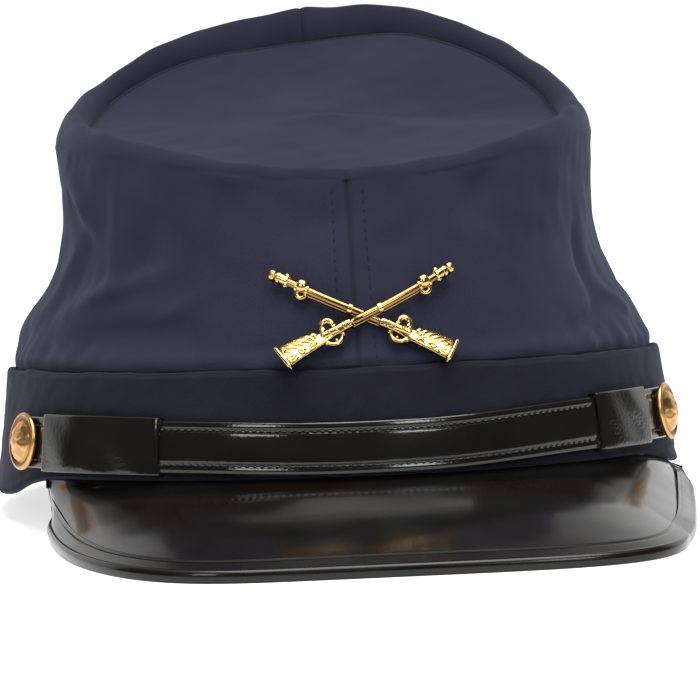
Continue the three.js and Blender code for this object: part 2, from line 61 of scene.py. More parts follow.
# %% [markdown]
# The cap is drawn in a "head frame" whose flat plane is the band's lower edge, because a hatter
# measures a cap that way. The sizes of the CAD source are named once here. Two differ from it: the
# peak's arch, which is flatter, and the ends of its root, which are drawn in.

# %% The sizes
BAND = dict(half_width=92.8, half_length=98.0, height=32.0, taper=3.8, wall=2.6,
            lift=4.6, lift_angles=(54.0, 82.0))
CROWN = dict(wall=2.0, tuck=9.0, rim_half_width=73.3, rim_half_length=77.0, rim_back=5.0,
             front=82.5, side=100.0, back=130.0, droop=3.0, dish=2.5)
STRAP = dict(width=13.5, thickness=2.0, height=13.6, sag=2.1, lift=0.9, reach=66.0,
             end_angle=5.2, radius=96.0)
KEEPER = dict(width=16.0, thickness=1.1, left=(-59.0, -33.0), right=(42.0, 56.5))
BUTTON = dict(diameter=15.2, rim=1.3, dome=2.6, angle=65.0)
PEAK = dict(half_width=80.9, front=141.0, drop=14.8, corner=(3.3, 6.0), side_end=(25.0, 8.0),
            root_angles=(-61.0, 71.0), fold_line=33.2, curl=0.5, shift=1.2, flare=8.3,
            thickness=2.0, arch=0.2)
BINDING = dict(width=5.6, thickness=0.9)
BADGE = dict(half_length=26.0, back=1.6, height=43.6, angle=1.8, lean=24.3)
GAP = 0.3
PRESSED = 0.5
PRESSED_FOOT = (0.107, 0.9)  # how far in and how high the band's back meets the floor

RIM_AT = np.array([0.0, 45.0, 90.0, 135.0, 180.0])
RIM = dict(
    crest_in=np.array([2.6, 3.6, 5.6, 5.4, 4.6]),
    shoulder_drop=np.array([3.2, 4.5, 8.5, 8.0, 6.5]),
    lip_in=np.array([2.4, 2.8, 3.6, 3.8, 3.8]),
    lip_down=np.array([2.6, 3.2, 4.6, 6.6, 11.0]),
)
RISE_AT = np.array([-180, -168, -158, -148, -136, -120, -90, 0, 90,
                    104, 116, 130, 144, 155, 165, 174, 180.0])
RISE = np.array([0.4, -0.8, -0.2, 0.7, 1.3, 1.3, 0, 0, 0.2,
                 3.0, 4.8, 6.0, 5.8, 4.6, 2.3, 0.9, 0.4])
WAIST_UP = np.array([0.0, 0.12, 0.25, 0.38, 0.52, 0.66, 0.85, 1.0])
WAIST_IN = np.array([0.0, 0.17, 0.42, 0.78, 1.0, 1.06, 1.03, 1.0])

# %% [markdown]
# The cap stands on the peak's front edge and the back of its band. The tilt between the two
# follows from the sizes, so the head frame is turned by it about the X axis and set on the floor.

# %% From the head frame to the resting cap
FOOT_DROP = PEAK["drop"] + PEAK["thickness"] + GAP + BINDING["thickness"]
TILT = math.atan2(FOOT_DROP, BAND["half_length"] + PEAK["front"])
LEAN = np.array([[1, 0, 0],
                 [0, math.cos(TILT), math.sin(TILT)],
                 [0, -math.sin(TILT), math.cos(TILT)]])
LIFT = BAND["half_length"] * math.sin(TILT) - PRESSED
FOOT_IN, FOOT_UP = PRESSED_FOOT
BACK_Y = (BAND["half_length"] - FOOT_IN) * math.cos(TILT) + FOOT_UP * math.sin(TILT)
SHIFT_Y = CAD_BOX[1][1] * 1000 - BACK_Y


def to_rest(points):
    """Head-frame millimetres to the resting cap in metres: turned by the tilt, then moved."""
    placed = points @ LEAN.T + np.array([0.0, SHIFT_Y, LIFT])
    return placed * 0.001


print(f"rest tilt {math.degrees(TILT):.2f} degrees, shift {SHIFT_Y:.2f} mm, lift {LIFT:.2f} mm")

# %% [markdown]
# Every surface below is a grid of points: one direction runs round the cap or along a strip, the
# other across it. One helper turns such a grid into a mesh, closes it where it meets itself, and
# stores a UV map in metres so that a weave keeps its size.


# %% Grids to meshes
def grid_faces(rows, columns, wrap_rows, wrap_columns, start=0):
    """Corner numbers of the quads between neighbouring points of a rows x columns grid."""
    r = np.arange(rows if wrap_rows else rows - 1)[:, None]
    c = np.arange(columns if wrap_columns else columns - 1)[None, :]
    r2 = (r + 1) % rows
    c2 = (c + 1) % columns
    a, b = r * columns + c, r2 * columns + c
    d, e = r * columns + c2, r2 * columns + c2
    return np.stack([a, b, e, d], -1).reshape(-1, 4) + start


def build(name, parts):
    """One mesh from several grids, each a dict: points, round and loop where it closes, uv, mask."""
    all_points, all_quads, all_uv, all_mask, caps = [], [], [], [], []
    start = 0
    for part in parts:
        points, wrap_r, wrap_c = part["points"], part.get("round", False), part.get("loop", False)
        rows, columns = points.shape[:2]
        all_points.append(points.reshape(-1, 3))
        all_quads.append(grid_faces(rows, columns, wrap_r, wrap_c, start))
        uv = part.get("uv")
        if uv is None:
            uv = np.zeros((rows, columns, 2))
        all_uv.append(uv.reshape(-1, 2))
        mask = part.get("mask")
        all_mask.append(np.zeros(rows * columns) if mask is None else mask.reshape(-1))
        if part.get("capped"):
            caps.append([start + k for k in range(columns)][::-1])
            caps.append([start + (rows - 1) * columns + k for k in range(columns)])
        start += rows * columns
    points = np.concatenate(all_points)
    quads = np.concatenate(all_quads)
    uv = np.concatenate(all_uv)
    mesh = bpy.data.meshes.new(name)
    mesh.from_pydata(points.tolist(), [], quads.tolist() + caps)
    layer = mesh.uv_layers.new(name="cloth")
    corner = np.zeros(len(mesh.loops), dtype=np.int32)
    mesh.loops.foreach_get("vertex_index", corner)
    layer.data.foreach_set("uv", uv[corner].reshape(-1).astype(np.float32))
    shade = mesh.attributes.new("shade", "FLOAT", "POINT")
    shade.data.foreach_set("value", np.concatenate(all_mask).astype(np.float32))
    mesh.polygons.foreach_set("use_smooth", np.ones(len(mesh.polygons), dtype=bool))
    mesh.update()
    piece = bpy.data.objects.new(name, mesh)
    bpy.context.scene.collection.objects.link(piece)
    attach(piece, "root")
    outward(piece)
    return piece


def outward(piece):
    """Turns the faces round where the mesh's signed volume says that they point inwards."""
    mesh = piece.data
    mesh.calc_loop_triangles()
    corners = np.zeros(len(mesh.loop_triangles) * 3, dtype=np.int32)
    mesh.loop_triangles.foreach_get("vertices", corners)
    places = np.zeros(len(mesh.vertices) * 3)
    mesh.vertices.foreach_get("co", places)
    p = places.reshape(-1, 3)[corners.reshape(-1, 3)]
    volume = np.einsum("ij,ij->i", p[:, 0], np.cross(p[:, 1], p[:, 2])).sum() / 6
    if volume < 0:
        mesh.flip_normals()
    print(f"{piece.name}: {len(mesh.loop_triangles)} triangles, {abs(volume) * 1e6:.2f} cm3")


# %% [markdown]
# Tables of a few rows are read on a smooth curve, so that the rolled rim swells and thins without
# corners. Seeded waves give cloth its small unevenness, the same on every run.


# %% Curves and waves
def curve(xs, ys, x):
    """Cubic Hermite curve through the rows of a table, with slopes taken from the neighbours."""
    x = np.asarray(x, dtype=float)
    n = len(xs)
    low = np.clip(np.arange(n) - 1, 0, n - 1)
    high = np.clip(np.arange(n) + 1, 0, n - 1)
    slope = (ys[high] - ys[low]) / (xs[high] - xs[low])
    i = np.clip(np.searchsorted(xs, x) - 1, 0, n - 2)
    h = xs[i + 1] - xs[i]
    t = np.clip((x - xs[i]) / h, 0, 1)
    return ((2 * t**3 - 3 * t**2 + 1) * ys[i] + (t**3 - 2 * t**2 + t) * h * slope[i]
            + (3 * t**2 - 2 * t**3) * ys[i + 1] + (t**3 - t**2) * h * slope[i + 1])


def waves(x, y, wavelength, seed, count=14):
    """Sum of sine waves in random directions and phases, about one high, for x and y in mm."""
    rng = np.random.default_rng(seed)
    total = np.zeros(np.broadcast(x, y).shape)
    for _ in range(count):
        turn, phase = rng.uniform(0, 2 * np.pi, 2)
        k = 2 * np.pi / (wavelength * rng.uniform(0.7, 1.6))
        total += np.sin(k * (x * np.cos(turn) + y * np.sin(turn)) + phase)
    return total / math.sqrt(count)


def ramp(x, low, high):
    """0 below low, 1 above high, and a smooth step between them."""
    t = np.clip((x - low) / (high - low), 0, 1)
    return t * t * (3 - 2 * t)


def stack(x, y, z):
    """Three arrays as one array of points."""
    return np.stack(np.broadcast_arrays(x, y, z), -1)


# %% [markdown]
# ## The shapes that the pieces share
# The band is a slightly tapered oval. The crown's wall rises from inside it, draws in quickly and
# then stands nearly straight up to a shoulder, where the cloth rolls over the sunken top.


# %% Band face and crown wall
def band_face(angle, z, out=0.0):
    """Point at an angle from the front and a height, moved out along the band's own normal."""
    a = np.radians(angle)
    draw = BAND["taper"] * z / BAND["height"]
    point = stack((BAND["half_width"] - draw) * np.sin(a), -(BAND["half_length"] - draw) * np.cos(a), z)
    nx, ny = np.sin(a) / BAND["half_width"], -np.cos(a) / BAND["half_length"]
    flat = np.hypot(nx, ny)
    slope = BAND["taper"] / BAND["height"]
    normal = stack(nx / flat, ny / flat, slope) / math.hypot(1, slope)
    return point + normal * np.asarray(out)[..., None]


def band_foot(angle):
    """Height of the band's lower edge: it arches over the peak and comes down at the sides."""
    return BAND["lift"] * (1 - ramp(np.abs(angle), *BAND["lift_angles"]))


def crest_height(angle):
    """Height of the rim's crest: a cosine series through its four heights, plus its wear."""
    a = np.radians(angle)
    mean = (CROWN["front"] + CROWN["back"]) / 2
    even = (mean - CROWN["side"]) / 2
    swing = (CROWN["back"] - CROWN["front"]) / 2 - CROWN["droop"]
    plain = (mean - even - swing * np.cos(a) + even * np.cos(2 * a)
             - CROWN["droop"] * np.cos(3 * a))
    return plain + curve(RISE_AT, RISE, angle)


def rim_point(angle, inset, z):
    """Point of the rim, drawn in from its oval outline."""
    a = np.radians(angle)
    return stack((CROWN["rim_half_width"] - inset) * np.sin(a),
                 CROWN["rim_back"] - (CROWN["rim_half_length"] - inset) * np.cos(a), z)


def rim(column, angle):
    """A column of the rim's table at an angle on either side."""
    return curve(RIM_AT, RIM[column], np.abs(angle))


# %% [markdown]
# Soft wool never hangs smoothly. Each fold is a low hill or hollow, longer than wide and turned on
# the wall, and a few are creases: a ridge beside a hollow. The sum of them all moves the cloth in
# or out, as the photograph shows at the wearer's right and as such caps crumple at the back.

# %% The crown's folds
# angle, share of the wall's height, depth out or in, half length, half width, turn, crease share
FOLDS = np.array([
    (-64, 0.74, 2.2, 16, 4.0, -35, 0.0),
    (-88, 0.17, 2.2, 20, 7.0, 0, 0.0),
    (-52, 0.55, 1.6, 11, 3.2, -82, 0.2),
    (-44, 0.59, -3.0, 12, 8.0, 70, 0.0),
    (-50, 0.37, 2.6, 17, 3.6, 17, 0.3),
    (-46, 0.17, -3.0, 18, 5.0, 4, 0.0),
    (-33, 0.30, 1.0, 10, 3.0, 30, 0.2),
    (-24, 0.86, -1.4, 10, 7.0, 0, 0.0),
    (-7, 0.78, -1.1, 12, 6.0, 10, 0.0),
    (10, 0.66, -1.0, 9, 5.0, 30, 0.0),
    (27, 0.84, -1.9, 8, 6.0, 50, 0.0),
    (30, 0.72, 0.7, 12, 5.0, 70, 0.0),
    (57, 0.40, -1.3, 12, 3.0, 78, 0.5),
    (52, 0.16, -1.0, 13, 2.6, 20, 0.6),
    (64, 0.22, 0.8, 10, 2.4, -30, 0.4),
    (-72, 0.40, 1.4, 13, 4.5, 60, 0.0),
    (-80, 0.14, -1.4, 14, 4.5, 25, 0.3),
    (100, 0.40, 1.6, 20, 6.0, 10, 0.2),
    (82, 0.30, -1.2, 16, 4.0, -25, 0.4),
    (128, 0.50, -2.2, 22, 9.0, -30, 0.2),
    (142, 0.22, 1.4, 20, 4.5, 12, 0.4),
    (165, 0.36, 1.8, 26, 7.0, 8, 0.2),
    (-165, 0.55, -2.0, 24, 9.0, 25, 0.2),
    (-150, 0.20, 1.3, 22, 4.0, -10, 0.4),
    (-125, 0.42, 2.0, 22, 7.0, -15, 0.2),
    (-100, 0.62, -1.6, 16, 8.0, 30, 0.0),
], dtype=float)
SEAM_HALF = 0.75
STITCH_OFF = 4.4


def fold_out(angle, up):
    """Sum over the folds of depth times exp(-u2 - v2), a crease adding its slope across."""
    total = np.zeros(np.broadcast(angle, up).shape)
    for at, high, out, long, wide, turn, crease in FOLDS:
        x = np.radians((angle - at + 540) % 360 - 180) * 80
        y = (up - high) * 60
        c, s = math.cos(math.radians(turn)), math.sin(math.radians(turn))
        u, v = (x * c + y * s) / long, (y * c - x * s) / wide
        hill = np.exp(-u * u - v * v)
        total += out * hill * (1 + crease * 2.2 * v)
    return total * ramp(up, 0.0, 0.1) * (1 - ramp(up, 0.93, 1.0))


def seam_out(angle, radius=82.0):
    """Middle seams at the front and back: a narrow groove between two slightly raised plies."""
    near = np.minimum(np.abs(angle), np.abs(np.abs(angle) - 180))
    x = np.radians(near) * radius
    plies = 0.22 * (1 - ramp(x, 5.2, 7.6))
    stitch_dip = 0.16 * np.exp(-(((x - STITCH_OFF) / 0.6) ** 2))
    return plies - stitch_dip - 0.55 * np.exp(-((x / SEAM_HALF) ** 2))


def wall_face(angle, up, fine=True):
    """Crown wall: foot to shoulder by how far it is drawn in, moved out by folds and seams."""
    side = np.sin(np.radians(angle)) ** 2
    drawn = np.clip(up, 0, None) ** 0.92 * (1 - side) + curve(WAIST_UP, WAIST_IN, up) * side
    foot = band_face(angle, BAND["height"] + 0 * up, -BAND["wall"] - GAP)
    top = rim_point(angle, 0, crest_height(angle) - rim("shoulder_drop", angle))
    z = BAND["height"] + (top[..., 2] - BAND["height"]) * up
    flat = foot[..., :2] + (top[..., :2] - foot[..., :2]) * drawn[..., None]
    out = fold_out(angle, up) + 1.1 * np.exp(-(((up - 0.05) / 0.045) ** 2))
    if fine:
        x, y = np.radians(angle) * 85, up * 60
        out = out + seam_out(angle) * ramp(up, 0.0, 0.04)
        out = out + 0.22 * waves(x, y, 17, 3) + 0.10 * waves(x, y, 7, 4)
        pucker = np.exp(-(((up - 0.07) / 0.07) ** 2)) * waves(x, 0.4 * y, 9, 5)
        out = out + 0.35 * pucker
    a = np.radians(angle)
    return stack(flat[..., 0] + np.sin(a) * out, flat[..., 1] - np.cos(a) * out, z)


# %% [markdown]
# ## Materials
# Wool flannel is matt, with a soft sheen at grazing angles, a fine diagonal twill and a cloudy
# unevenness of dye. Patent leather is nearly black under a hard clear lacquer that mirrors the
# studio. The weave and the clouds are node groups, placed in the materials that use them.


# %% Node helpers
def group(name, inputs, outputs):
    """A shader node group with float or colour sockets, and its input and output nodes."""
    tree = bpy.data.node_groups.new(name, "ShaderNodeTree")
    for label, kind, value in inputs:
        socket = tree.interface.new_socket(label, in_out="INPUT", socket_type=kind)
        socket.default_value = value
    for label, kind in outputs:
        tree.interface.new_socket(label, in_out="OUTPUT", socket_type=kind)
    return tree, tree.nodes.new("NodeGroupInput"), tree.nodes.new("NodeGroupOutput")


def node(tree, kind, **settings):
    """A node of the kind, with properties by name and input values by socket name or number."""
    made = tree.nodes.new(kind)
    for key, value in settings.pop("values", {}).items():
        made.inputs[key].default_value = value
    for key, value in settings.items():
        setattr(made, key, value)
    return made


def mix_colour(tree, factor, first, second, blend="MIX"):
    """A colour mix whose sockets may be links or fixed colours."""
    made = node(tree, "ShaderNodeMix", data_type="RGBA", blend_type=blend)
    for socket, value in ((made.inputs[0], factor), (made.inputs[6], first), (made.inputs[7], second)):
        if isinstance(value, (tuple, float)):
            socket.default_value = value
        else:
            tree.links.new(value, socket)
    return made.outputs[2]


def maths(tree, operation, first, second=None, clamp=False):
    """One Math node, linked or set."""
    made = node(tree, "ShaderNodeMath", operation=operation, use_clamp=clamp)
    for socket, value in zip(made.inputs, (first, second)):
        if value is None:
            continue
        if isinstance(value, float):
            socket.default_value = value
        else:
            tree.links.new(value, socket)
    return made.outputs[0]


# %% The twill group
# Threads run diagonally: two fine wave bands across each other, broken up by noise.
weave, weave_in, weave_out = group(
    "wool_twill",
    [("Threads", "NodeSocketFloat", 900.0), ("Fuzz", "NodeSocketFloat", 0.5)],
    [("Height", "NodeSocketFloat"), ("Fleck", "NodeSocketFloat")])
uv = node(weave, "ShaderNodeUVMap", uv_map="cloth")
turned = node(weave, "ShaderNodeMapping", values={"Rotation": (0, 0, math.radians(45))})
weave.links.new(uv.outputs[0], turned.inputs["Vector"])
twill = node(weave, "ShaderNodeTexWave", values={"Distortion": 1.2, "Detail": 2.0})
weave.links.new(turned.outputs[0], twill.inputs["Vector"])
weave.links.new(weave_in.outputs["Threads"], twill.inputs["Scale"])
fuzz = node(weave, "ShaderNodeTexNoise", values={"Scale": 2600.0, "Detail": 3.0, "Roughness": 0.7})
weave.links.new(uv.outputs[0], fuzz.inputs["Vector"])
softened = maths(weave, "MULTIPLY", fuzz.outputs["Fac"], weave_in.outputs["Fuzz"])
weave.links.new(maths(weave, "ADD", maths(weave, "MULTIPLY", twill.outputs["Fac"], 0.5), softened),
                weave_out.inputs["Height"])
weave.links.new(fuzz.outputs["Fac"], weave_out.inputs["Fleck"])
print("node group", weave.name)

# %% The cloud group
# Slow, soft patches: dye and handling are never even.
cloud, cloud_in, cloud_out = group(
    "soft_clouds",
    [("Scale", "NodeSocketFloat", 25.0), ("Detail", "NodeSocketFloat", 4.0)],
    [("Cloud", "NodeSocketFloat")])
place = node(cloud, "ShaderNodeTexCoord")
puff = node(cloud, "ShaderNodeTexNoise", values={"Roughness": 0.55})
cloud.links.new(place.outputs["Object"], puff.inputs["Vector"])
cloud.links.new(cloud_in.outputs["Scale"], puff.inputs["Scale"])
cloud.links.new(cloud_in.outputs["Detail"], puff.inputs["Detail"])
cloud.links.new(puff.outputs["Fac"], cloud_out.inputs["Cloud"])
print("node group", cloud.name)


# %% Wool, patent leather and brass
def material(name, roughness, metallic=0.0):
    """An empty Principled material and its tree."""
    made = bpy.data.materials.new(name)
    made.use_nodes = True
    shader = made.node_tree.nodes["Principled BSDF"]
    shader.inputs["Roughness"].default_value = roughness
    shader.inputs["Metallic"].default_value = metallic
    return made, made.node_tree, shader


def placed_group(tree, source, **values):
    """A node group placed in a material with its own values."""
    made = node(tree, "ShaderNodeGroup", node_tree=source)
    for key, value in values.items():
        made.inputs[key].default_value = value
    return made


def roughen(tree, shader, height, strength):
    """Bump from a height, in fifths of a millimetre."""
    bump = node(tree, "ShaderNodeBump", values={"Strength": strength, "Distance": 0.0002})
    tree.links.new(height, bump.inputs["Height"])
    tree.links.new(bump.outputs[0], shader.inputs["Normal"])


def uneven_polish(tree, shader, cloud_value, rough):
    """Roughness from 0.7 to 1.5 times a middle value, by the clouds."""
    spread = node(tree, "ShaderNodeMapRange",
                  values={"From Min": 0.3, "From Max": 0.75, "To Min": rough * 0.7, "To Max": rough * 1.5})
    tree.links.new(cloud_value, spread.inputs["Value"])
    tree.links.new(spread.outputs[0], shader.inputs["Roughness"])


def scaled(colour, factor):
    """A colour made lighter or darker, its alpha kept."""
    return tuple(factor * c for c in colour[:3]) + (1,)


def wool(name, dark, light, painted_shade_colour):
    """Wool in two tones by clouds and fleck, painted shade by attribute, twill bump and sheen."""
    made, tree, shader = material(name, 0.88)
    weave_node = placed_group(tree, weave, Threads=700.0, Fuzz=1.0)
    clouds = placed_group(tree, cloud, Scale=28.0, Detail=3.0)
    blend = maths(tree, "ADD", maths(tree, "MULTIPLY", clouds.outputs["Cloud"], 0.8),
                  maths(tree, "MULTIPLY", weave_node.outputs["Fleck"], 0.35))
    spread = node(tree, "ShaderNodeMapRange", values={"From Min": 0.35, "From Max": 0.8})
    tree.links.new(blend, spread.inputs["Value"])
    colour = mix_colour(tree, spread.outputs[0], dark, light)
    # Painted shade: the shade attribute mixes the wool toward a dark colour in seam grooves and under the
    # rolled rim.
    shade = node(tree, "ShaderNodeAttribute", attribute_name="shade")
    tree.links.new(mix_colour(tree, shade.outputs["Fac"], colour, painted_shade_colour),
                   shader.inputs["Base Color"])
    bump = node(tree, "ShaderNodeBump", values={"Strength": 0.22, "Distance": 0.0003})
    tree.links.new(weave_node.outputs["Height"], bump.inputs["Height"])
    tree.links.new(bump.outputs[0], shader.inputs["Normal"])
    shader.inputs["Specular IOR Level"].default_value = 0.12
    shader.inputs["Sheen Weight"].default_value = 0.12
    shader.inputs["Sheen Roughness"].default_value = 0.4
    shader.inputs["Sheen Tint"].default_value = (0.5, 0.52, 0.8, 1)
    return made


def patent(name, base, grain_depth, rough, mirror=0.45):
    """Near-black leather under lacquer: gloss broken by faint grain and softly uneven polish."""
    made, tree, shader = material(name, rough)
    clouds = placed_group(tree, cloud, Scale=45.0, Detail=5.0)
    uneven_polish(tree, shader, clouds.outputs["Cloud"], rough)
    tree.links.new(mix_colour(tree, clouds.outputs["Cloud"], base, scaled(base, 2.0)),
                   shader.inputs["Base Color"])
    place_node = node(tree, "ShaderNodeTexCoord")
    grain = node(tree, "ShaderNodeTexVoronoi", values={"Scale": 900.0})
    tree.links.new(place_node.outputs["Object"], grain.inputs["Vector"])
    roughen(tree, shader, grain.outputs["Distance"], grain_depth)
    shader.inputs["Specular IOR Level"].default_value = mirror
    shader.inputs["Coat Weight"].default_value = 0.15
    shader.inputs["Coat Roughness"].default_value = 0.08
    return made


def brass(name, bright, dark, rough):
    """Yellow metal, browned in its hollows by the shade attribute and clouded by handling."""
    made, tree, shader = material(name, rough, 1.0)
    clouds = placed_group(tree, cloud, Scale=160.0, Detail=6.0)
    worn = mix_colour(tree, clouds.outputs["Cloud"], bright, scaled(bright, 0.78))
    shade = node(tree, "ShaderNodeAttribute", attribute_name="shade")
    tree.links.new(mix_colour(tree, shade.outputs["Fac"], worn, dark), shader.inputs["Base Color"])
    uneven_polish(tree, shader, clouds.outputs["Cloud"], rough)
    roughen(tree, shader, clouds.outputs["Cloud"], 0.15)
    return made


crown_wool = wool("crown_wool", (0.0155, 0.0155, 0.030, 1), (0.026, 0.026, 0.047, 1), (0.006, 0.006, 0.01, 1))
band_wool = wool("band_wool", (0.0095, 0.0090, 0.0150, 1), (0.0150, 0.0145, 0.0225, 1),
                 (0.005, 0.005, 0.007, 1))
black_patent = patent("black_patent", (0.006, 0.0055, 0.005, 1), 0.10, 0.13)
peak_patent = patent("peak_patent", (0.0040, 0.0030, 0.0025, 1), 0.02, 0.15)
edge_patent = patent("edge_patent", (0.0040, 0.0032, 0.0028, 1), 0.02, 0.22, 0.3)
badge_gold = brass("badge_gold", (0.77, 0.52, 0.20, 1), (0.12, 0.055, 0.018, 1), 0.17)
button_brass = brass("button_brass", (0.78, 0.44, 0.17, 1), (0.12, 0.05, 0.02, 1), 0.32)
thread_black = patent("thread_black", (0.02, 0.02, 0.022, 1), 0.3, 0.35)
thread_navy = wool("thread_navy", (0.014, 0.014, 0.024, 1), (0.02, 0.02, 0.034, 1), (0.01, 0.01, 0.015, 1))
print("materials:", ", ".join(made.name for made in bpy.data.materials))


def dress(piece, made):
    """Gives a piece its one material."""
    piece.data.materials.clear()
    piece.data.materials.append(made)


# %% [markdown]
# ## The crown
# The wall, the rolled rim and its inner lip are one piece of cloth, so they are one sheet: rows go
# up the outside, over the crest and down inside. A second sheet 2 mm further in closes it.


# %% Thickening a sheet
def sheet_normals(points):
    """Unit normals of a grid by central differences, the first direction closed on itself."""
    du = np.roll(points, -1, 0) - np.roll(points, 1, 0)
    dv = np.gradient(points, axis=1)
    normal = np.cross(du, dv)
    return normal / np.linalg.norm(normal, axis=-1, keepdims=True)


def dense_angles(step, fine_step, fine_width):
    """Angles round the cap, closer together at the two middle seams."""
    quarter = np.concatenate([np.arange(0, fine_width, fine_step), np.arange(fine_width, 90, step)])
    half = np.concatenate([quarter, 180 - quarter[::-1]])
    return np.unique(np.round(np.concatenate([-half, half, [90, -90]]), 4))[1:]


def arc_lengths(points):
    """UV in metres: distance along the rows and along the columns of a head-frame grid."""
    across = np.linalg.norm(np.diff(points, axis=1, prepend=points[:, :1]), axis=-1).cumsum(1)
    along = np.linalg.norm(np.diff(points, axis=0, prepend=points[:1]), axis=-1).mean(1).cumsum()
    return np.stack([np.broadcast_to(along[:, None], across.shape), across], -1) * 0.001


# %% Crown sheet
angles = dense_angles(1.0, 0.3, 6.0)
a_col = angles[:, None]
tuck = np.linspace(-CROWN["tuck"], -0.3, 5)[None, :]
tucked = band_face(a_col, BAND["height"] + tuck, -BAND["wall"] - GAP)
ups = np.concatenate([np.linspace(0.004, 0.16, 22), np.linspace(0.17, 1.0, 76)])[None, :]
wall = wall_face(a_col, ups)
over = np.radians(np.linspace(8, 90, 14))[None, :]
crest = crest_height(a_col)
shoulder_out = 0.22 * waves(np.radians(a_col) * 80, 0 * over, 23, 8)
shoulder = rim_point(a_col, rim("crest_in", a_col) * (1 - np.cos(over)) - shoulder_out * (1 - np.sin(over)),
                     crest - rim("shoulder_drop", a_col) * (1 - np.sin(over)))
down = np.radians(np.linspace(9, 90, 12))[None, :]
lip = rim_point(a_col, rim("crest_in", a_col) + rim("lip_in", a_col) * np.sin(down),
                crest - rim("lip_down", a_col) * (1 - np.cos(down)))
rolled = np.concatenate([shoulder, lip], 1)
ripple = 0.28 * waves(np.radians(a_col) * 75, np.arange(rolled.shape[1])[None, :] * 1.1, 21, 9)
rolled[..., 2] += ripple
near_seam = np.exp(-((np.radians(np.minimum(np.abs(a_col), 180 - np.abs(a_col))) * 78 / 0.9) ** 2))
rolled[..., 2] -= 0.35 * near_seam * np.ones((1, rolled.shape[1]))
outer = np.concatenate([tucked, wall, rolled], 1)
inner = (outer - sheet_normals(outer) * CROWN["wall"])[:, ::-1][:, ::3]
crown_loop = np.concatenate([outer, inner], 1)
crown_uv = arc_lengths(crown_loop)
# Painted shade: the narrow seam grooves at the front and back are darkened in the cloth's colour.
x_seam = np.radians(np.minimum(np.abs(a_col), 180 - np.abs(a_col))) * 80
seam_painted_shade = 0.45 * np.exp(-((x_seam / 0.5) ** 2)) * np.ones((1, crown_loop.shape[1]))
crown = build("crown_cloth", [dict(points=to_rest(crown_loop), round=True, loop=True, uv=crown_uv,
                                   mask=seam_painted_shade)])
dress(crown, crown_wool)
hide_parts("crown_left", "crown_right")

# %% [markdown]
# The top is a round of the same cloth, sunk inside the rim. It dips a little toward its middle and
# is tucked under the rolled edge, where the roll's shadow falls, darkened by a painted shadow line.

# %% Sunken top
edge_angles = np.linspace(-180, 180, 361)[:-1]
e_col = edge_angles[:, None]
edge = rim_point(e_col, rim("crest_in", e_col) + rim("lip_in", e_col) + 0.05,
                 crest_height(e_col) - rim("lip_down", e_col) + 0.9)[:, 0]
middle = edge.mean(0)
rings = np.concatenate([np.linspace(1.0, 0.9, 12), np.linspace(0.88, 0.001, 60)])[None, :, None]
top = middle + (edge[:, None, :] - middle) * rings
r = rings[..., 0]
top[..., 2] -= CROWN["dish"] * (1 - r * r)
x, y = top[..., 0], top[..., 1]
top[..., 2] += (0.45 * waves(x, y, 46, 21) + 0.12 * waves(x, y, 15, 22)) * np.clip((1 - r) * 6, 0, 1)
top[..., 2] -= 0.5 * np.exp(-(((r - 0.985) / 0.012) ** 2))
under = (top + np.array([0, 0, -1.6]))[:, ::-1]
top_loop = np.concatenate([top, under], 1)
# Painted shadow: a dark line round the top's edge, where the rolled rim shades it.
roll_painted_shadow = np.concatenate([0.75 * np.exp(-(((r - 1.0) / 0.02) ** 2)) + 0 * x, np.zeros(x.shape)], 1)
disc = build("sunken_top", [dict(points=to_rest(top_loop), round=True, loop=True,
                                 uv=top_loop[..., :2] * 0.001, mask=roll_painted_shadow)])
dress(disc, crown_wool)
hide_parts("crown_top")

# %% [markdown]
# ## The band
# A strip of wool folded over a stiffener: rounded at its upper fold, a little wavy, darker than the
# crown because it lies flatter. The loop of its section is carried round the oval.

# %% Band loop
FOLD_HIGH, HEM_HIGH, SEAM_UP = 1.3, 0.9, 3.2
h, w = BAND["height"], BAND["wall"]
turn = np.radians(np.linspace(0, 180, 13))
up_out = np.linspace(HEM_HIGH, h - FOLD_HIGH, 34)
section_z = np.concatenate([up_out, h - FOLD_HIGH + FOLD_HIGH * np.sin(turn), up_out[::-3],
                            HEM_HIGH - HEM_HIGH * np.sin(turn)])
section_out = np.concatenate([0 * up_out, -w / 2 + w / 2 * np.cos(turn), 0 * up_out[::-3] - w,
                              -w / 2 - w / 2 * np.cos(turn)])
sz, so = section_z[None, :], section_out[None, :]
around = np.radians(a_col) * 95
front_side = ramp(so, -w * 0.6, -w * 0.2)
rippled = so + front_side * (0.16 * waves(around, sz, 19, 31) + 0.07 * waves(around, sz, 6, 32))
rippled = rippled - front_side * 0.35 * np.exp(-(((sz - SEAM_UP) / 0.8) ** 2))
wavy = sz + (0.30 * waves(around, 0 * sz, 38, 33) + 0.12 * waves(around, 0 * sz, 11, 34)) * ramp(sz, 6, h)
foot = band_foot(a_col)
sag = 1.3 * ramp(-a_col, 66, 76) * (1 - ramp(-a_col, 96, 125)) * (1 - ramp(sz, 2, 14))
band_loop = band_face(a_col, foot + wavy * (1 - foot / h) - sag, rippled)
band_points = to_rest(band_loop)
band_points[..., 2] = np.maximum(band_points[..., 2], 0.0)
# Painted shade: the groove of the band's seam line near its foot is darkened in its colour.
band_seam_painted_shade = 0.3 * np.exp(-(((sz - SEAM_UP) / 0.6) ** 2)) * front_side * np.ones_like(around)
band = build("band_cloth", [dict(points=band_points, round=True, loop=True, uv=arc_lengths(band_loop),
                                 mask=band_seam_painted_shade)])
dress(band, band_wool)
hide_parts("band")

# %% [markdown]
# ## Strap, keepers and stitches
# The chin strap is lacquered leather sewn along both edges. Its section is slightly crowned, with
# a shallow channel where each row of stitches pulls the leather down.


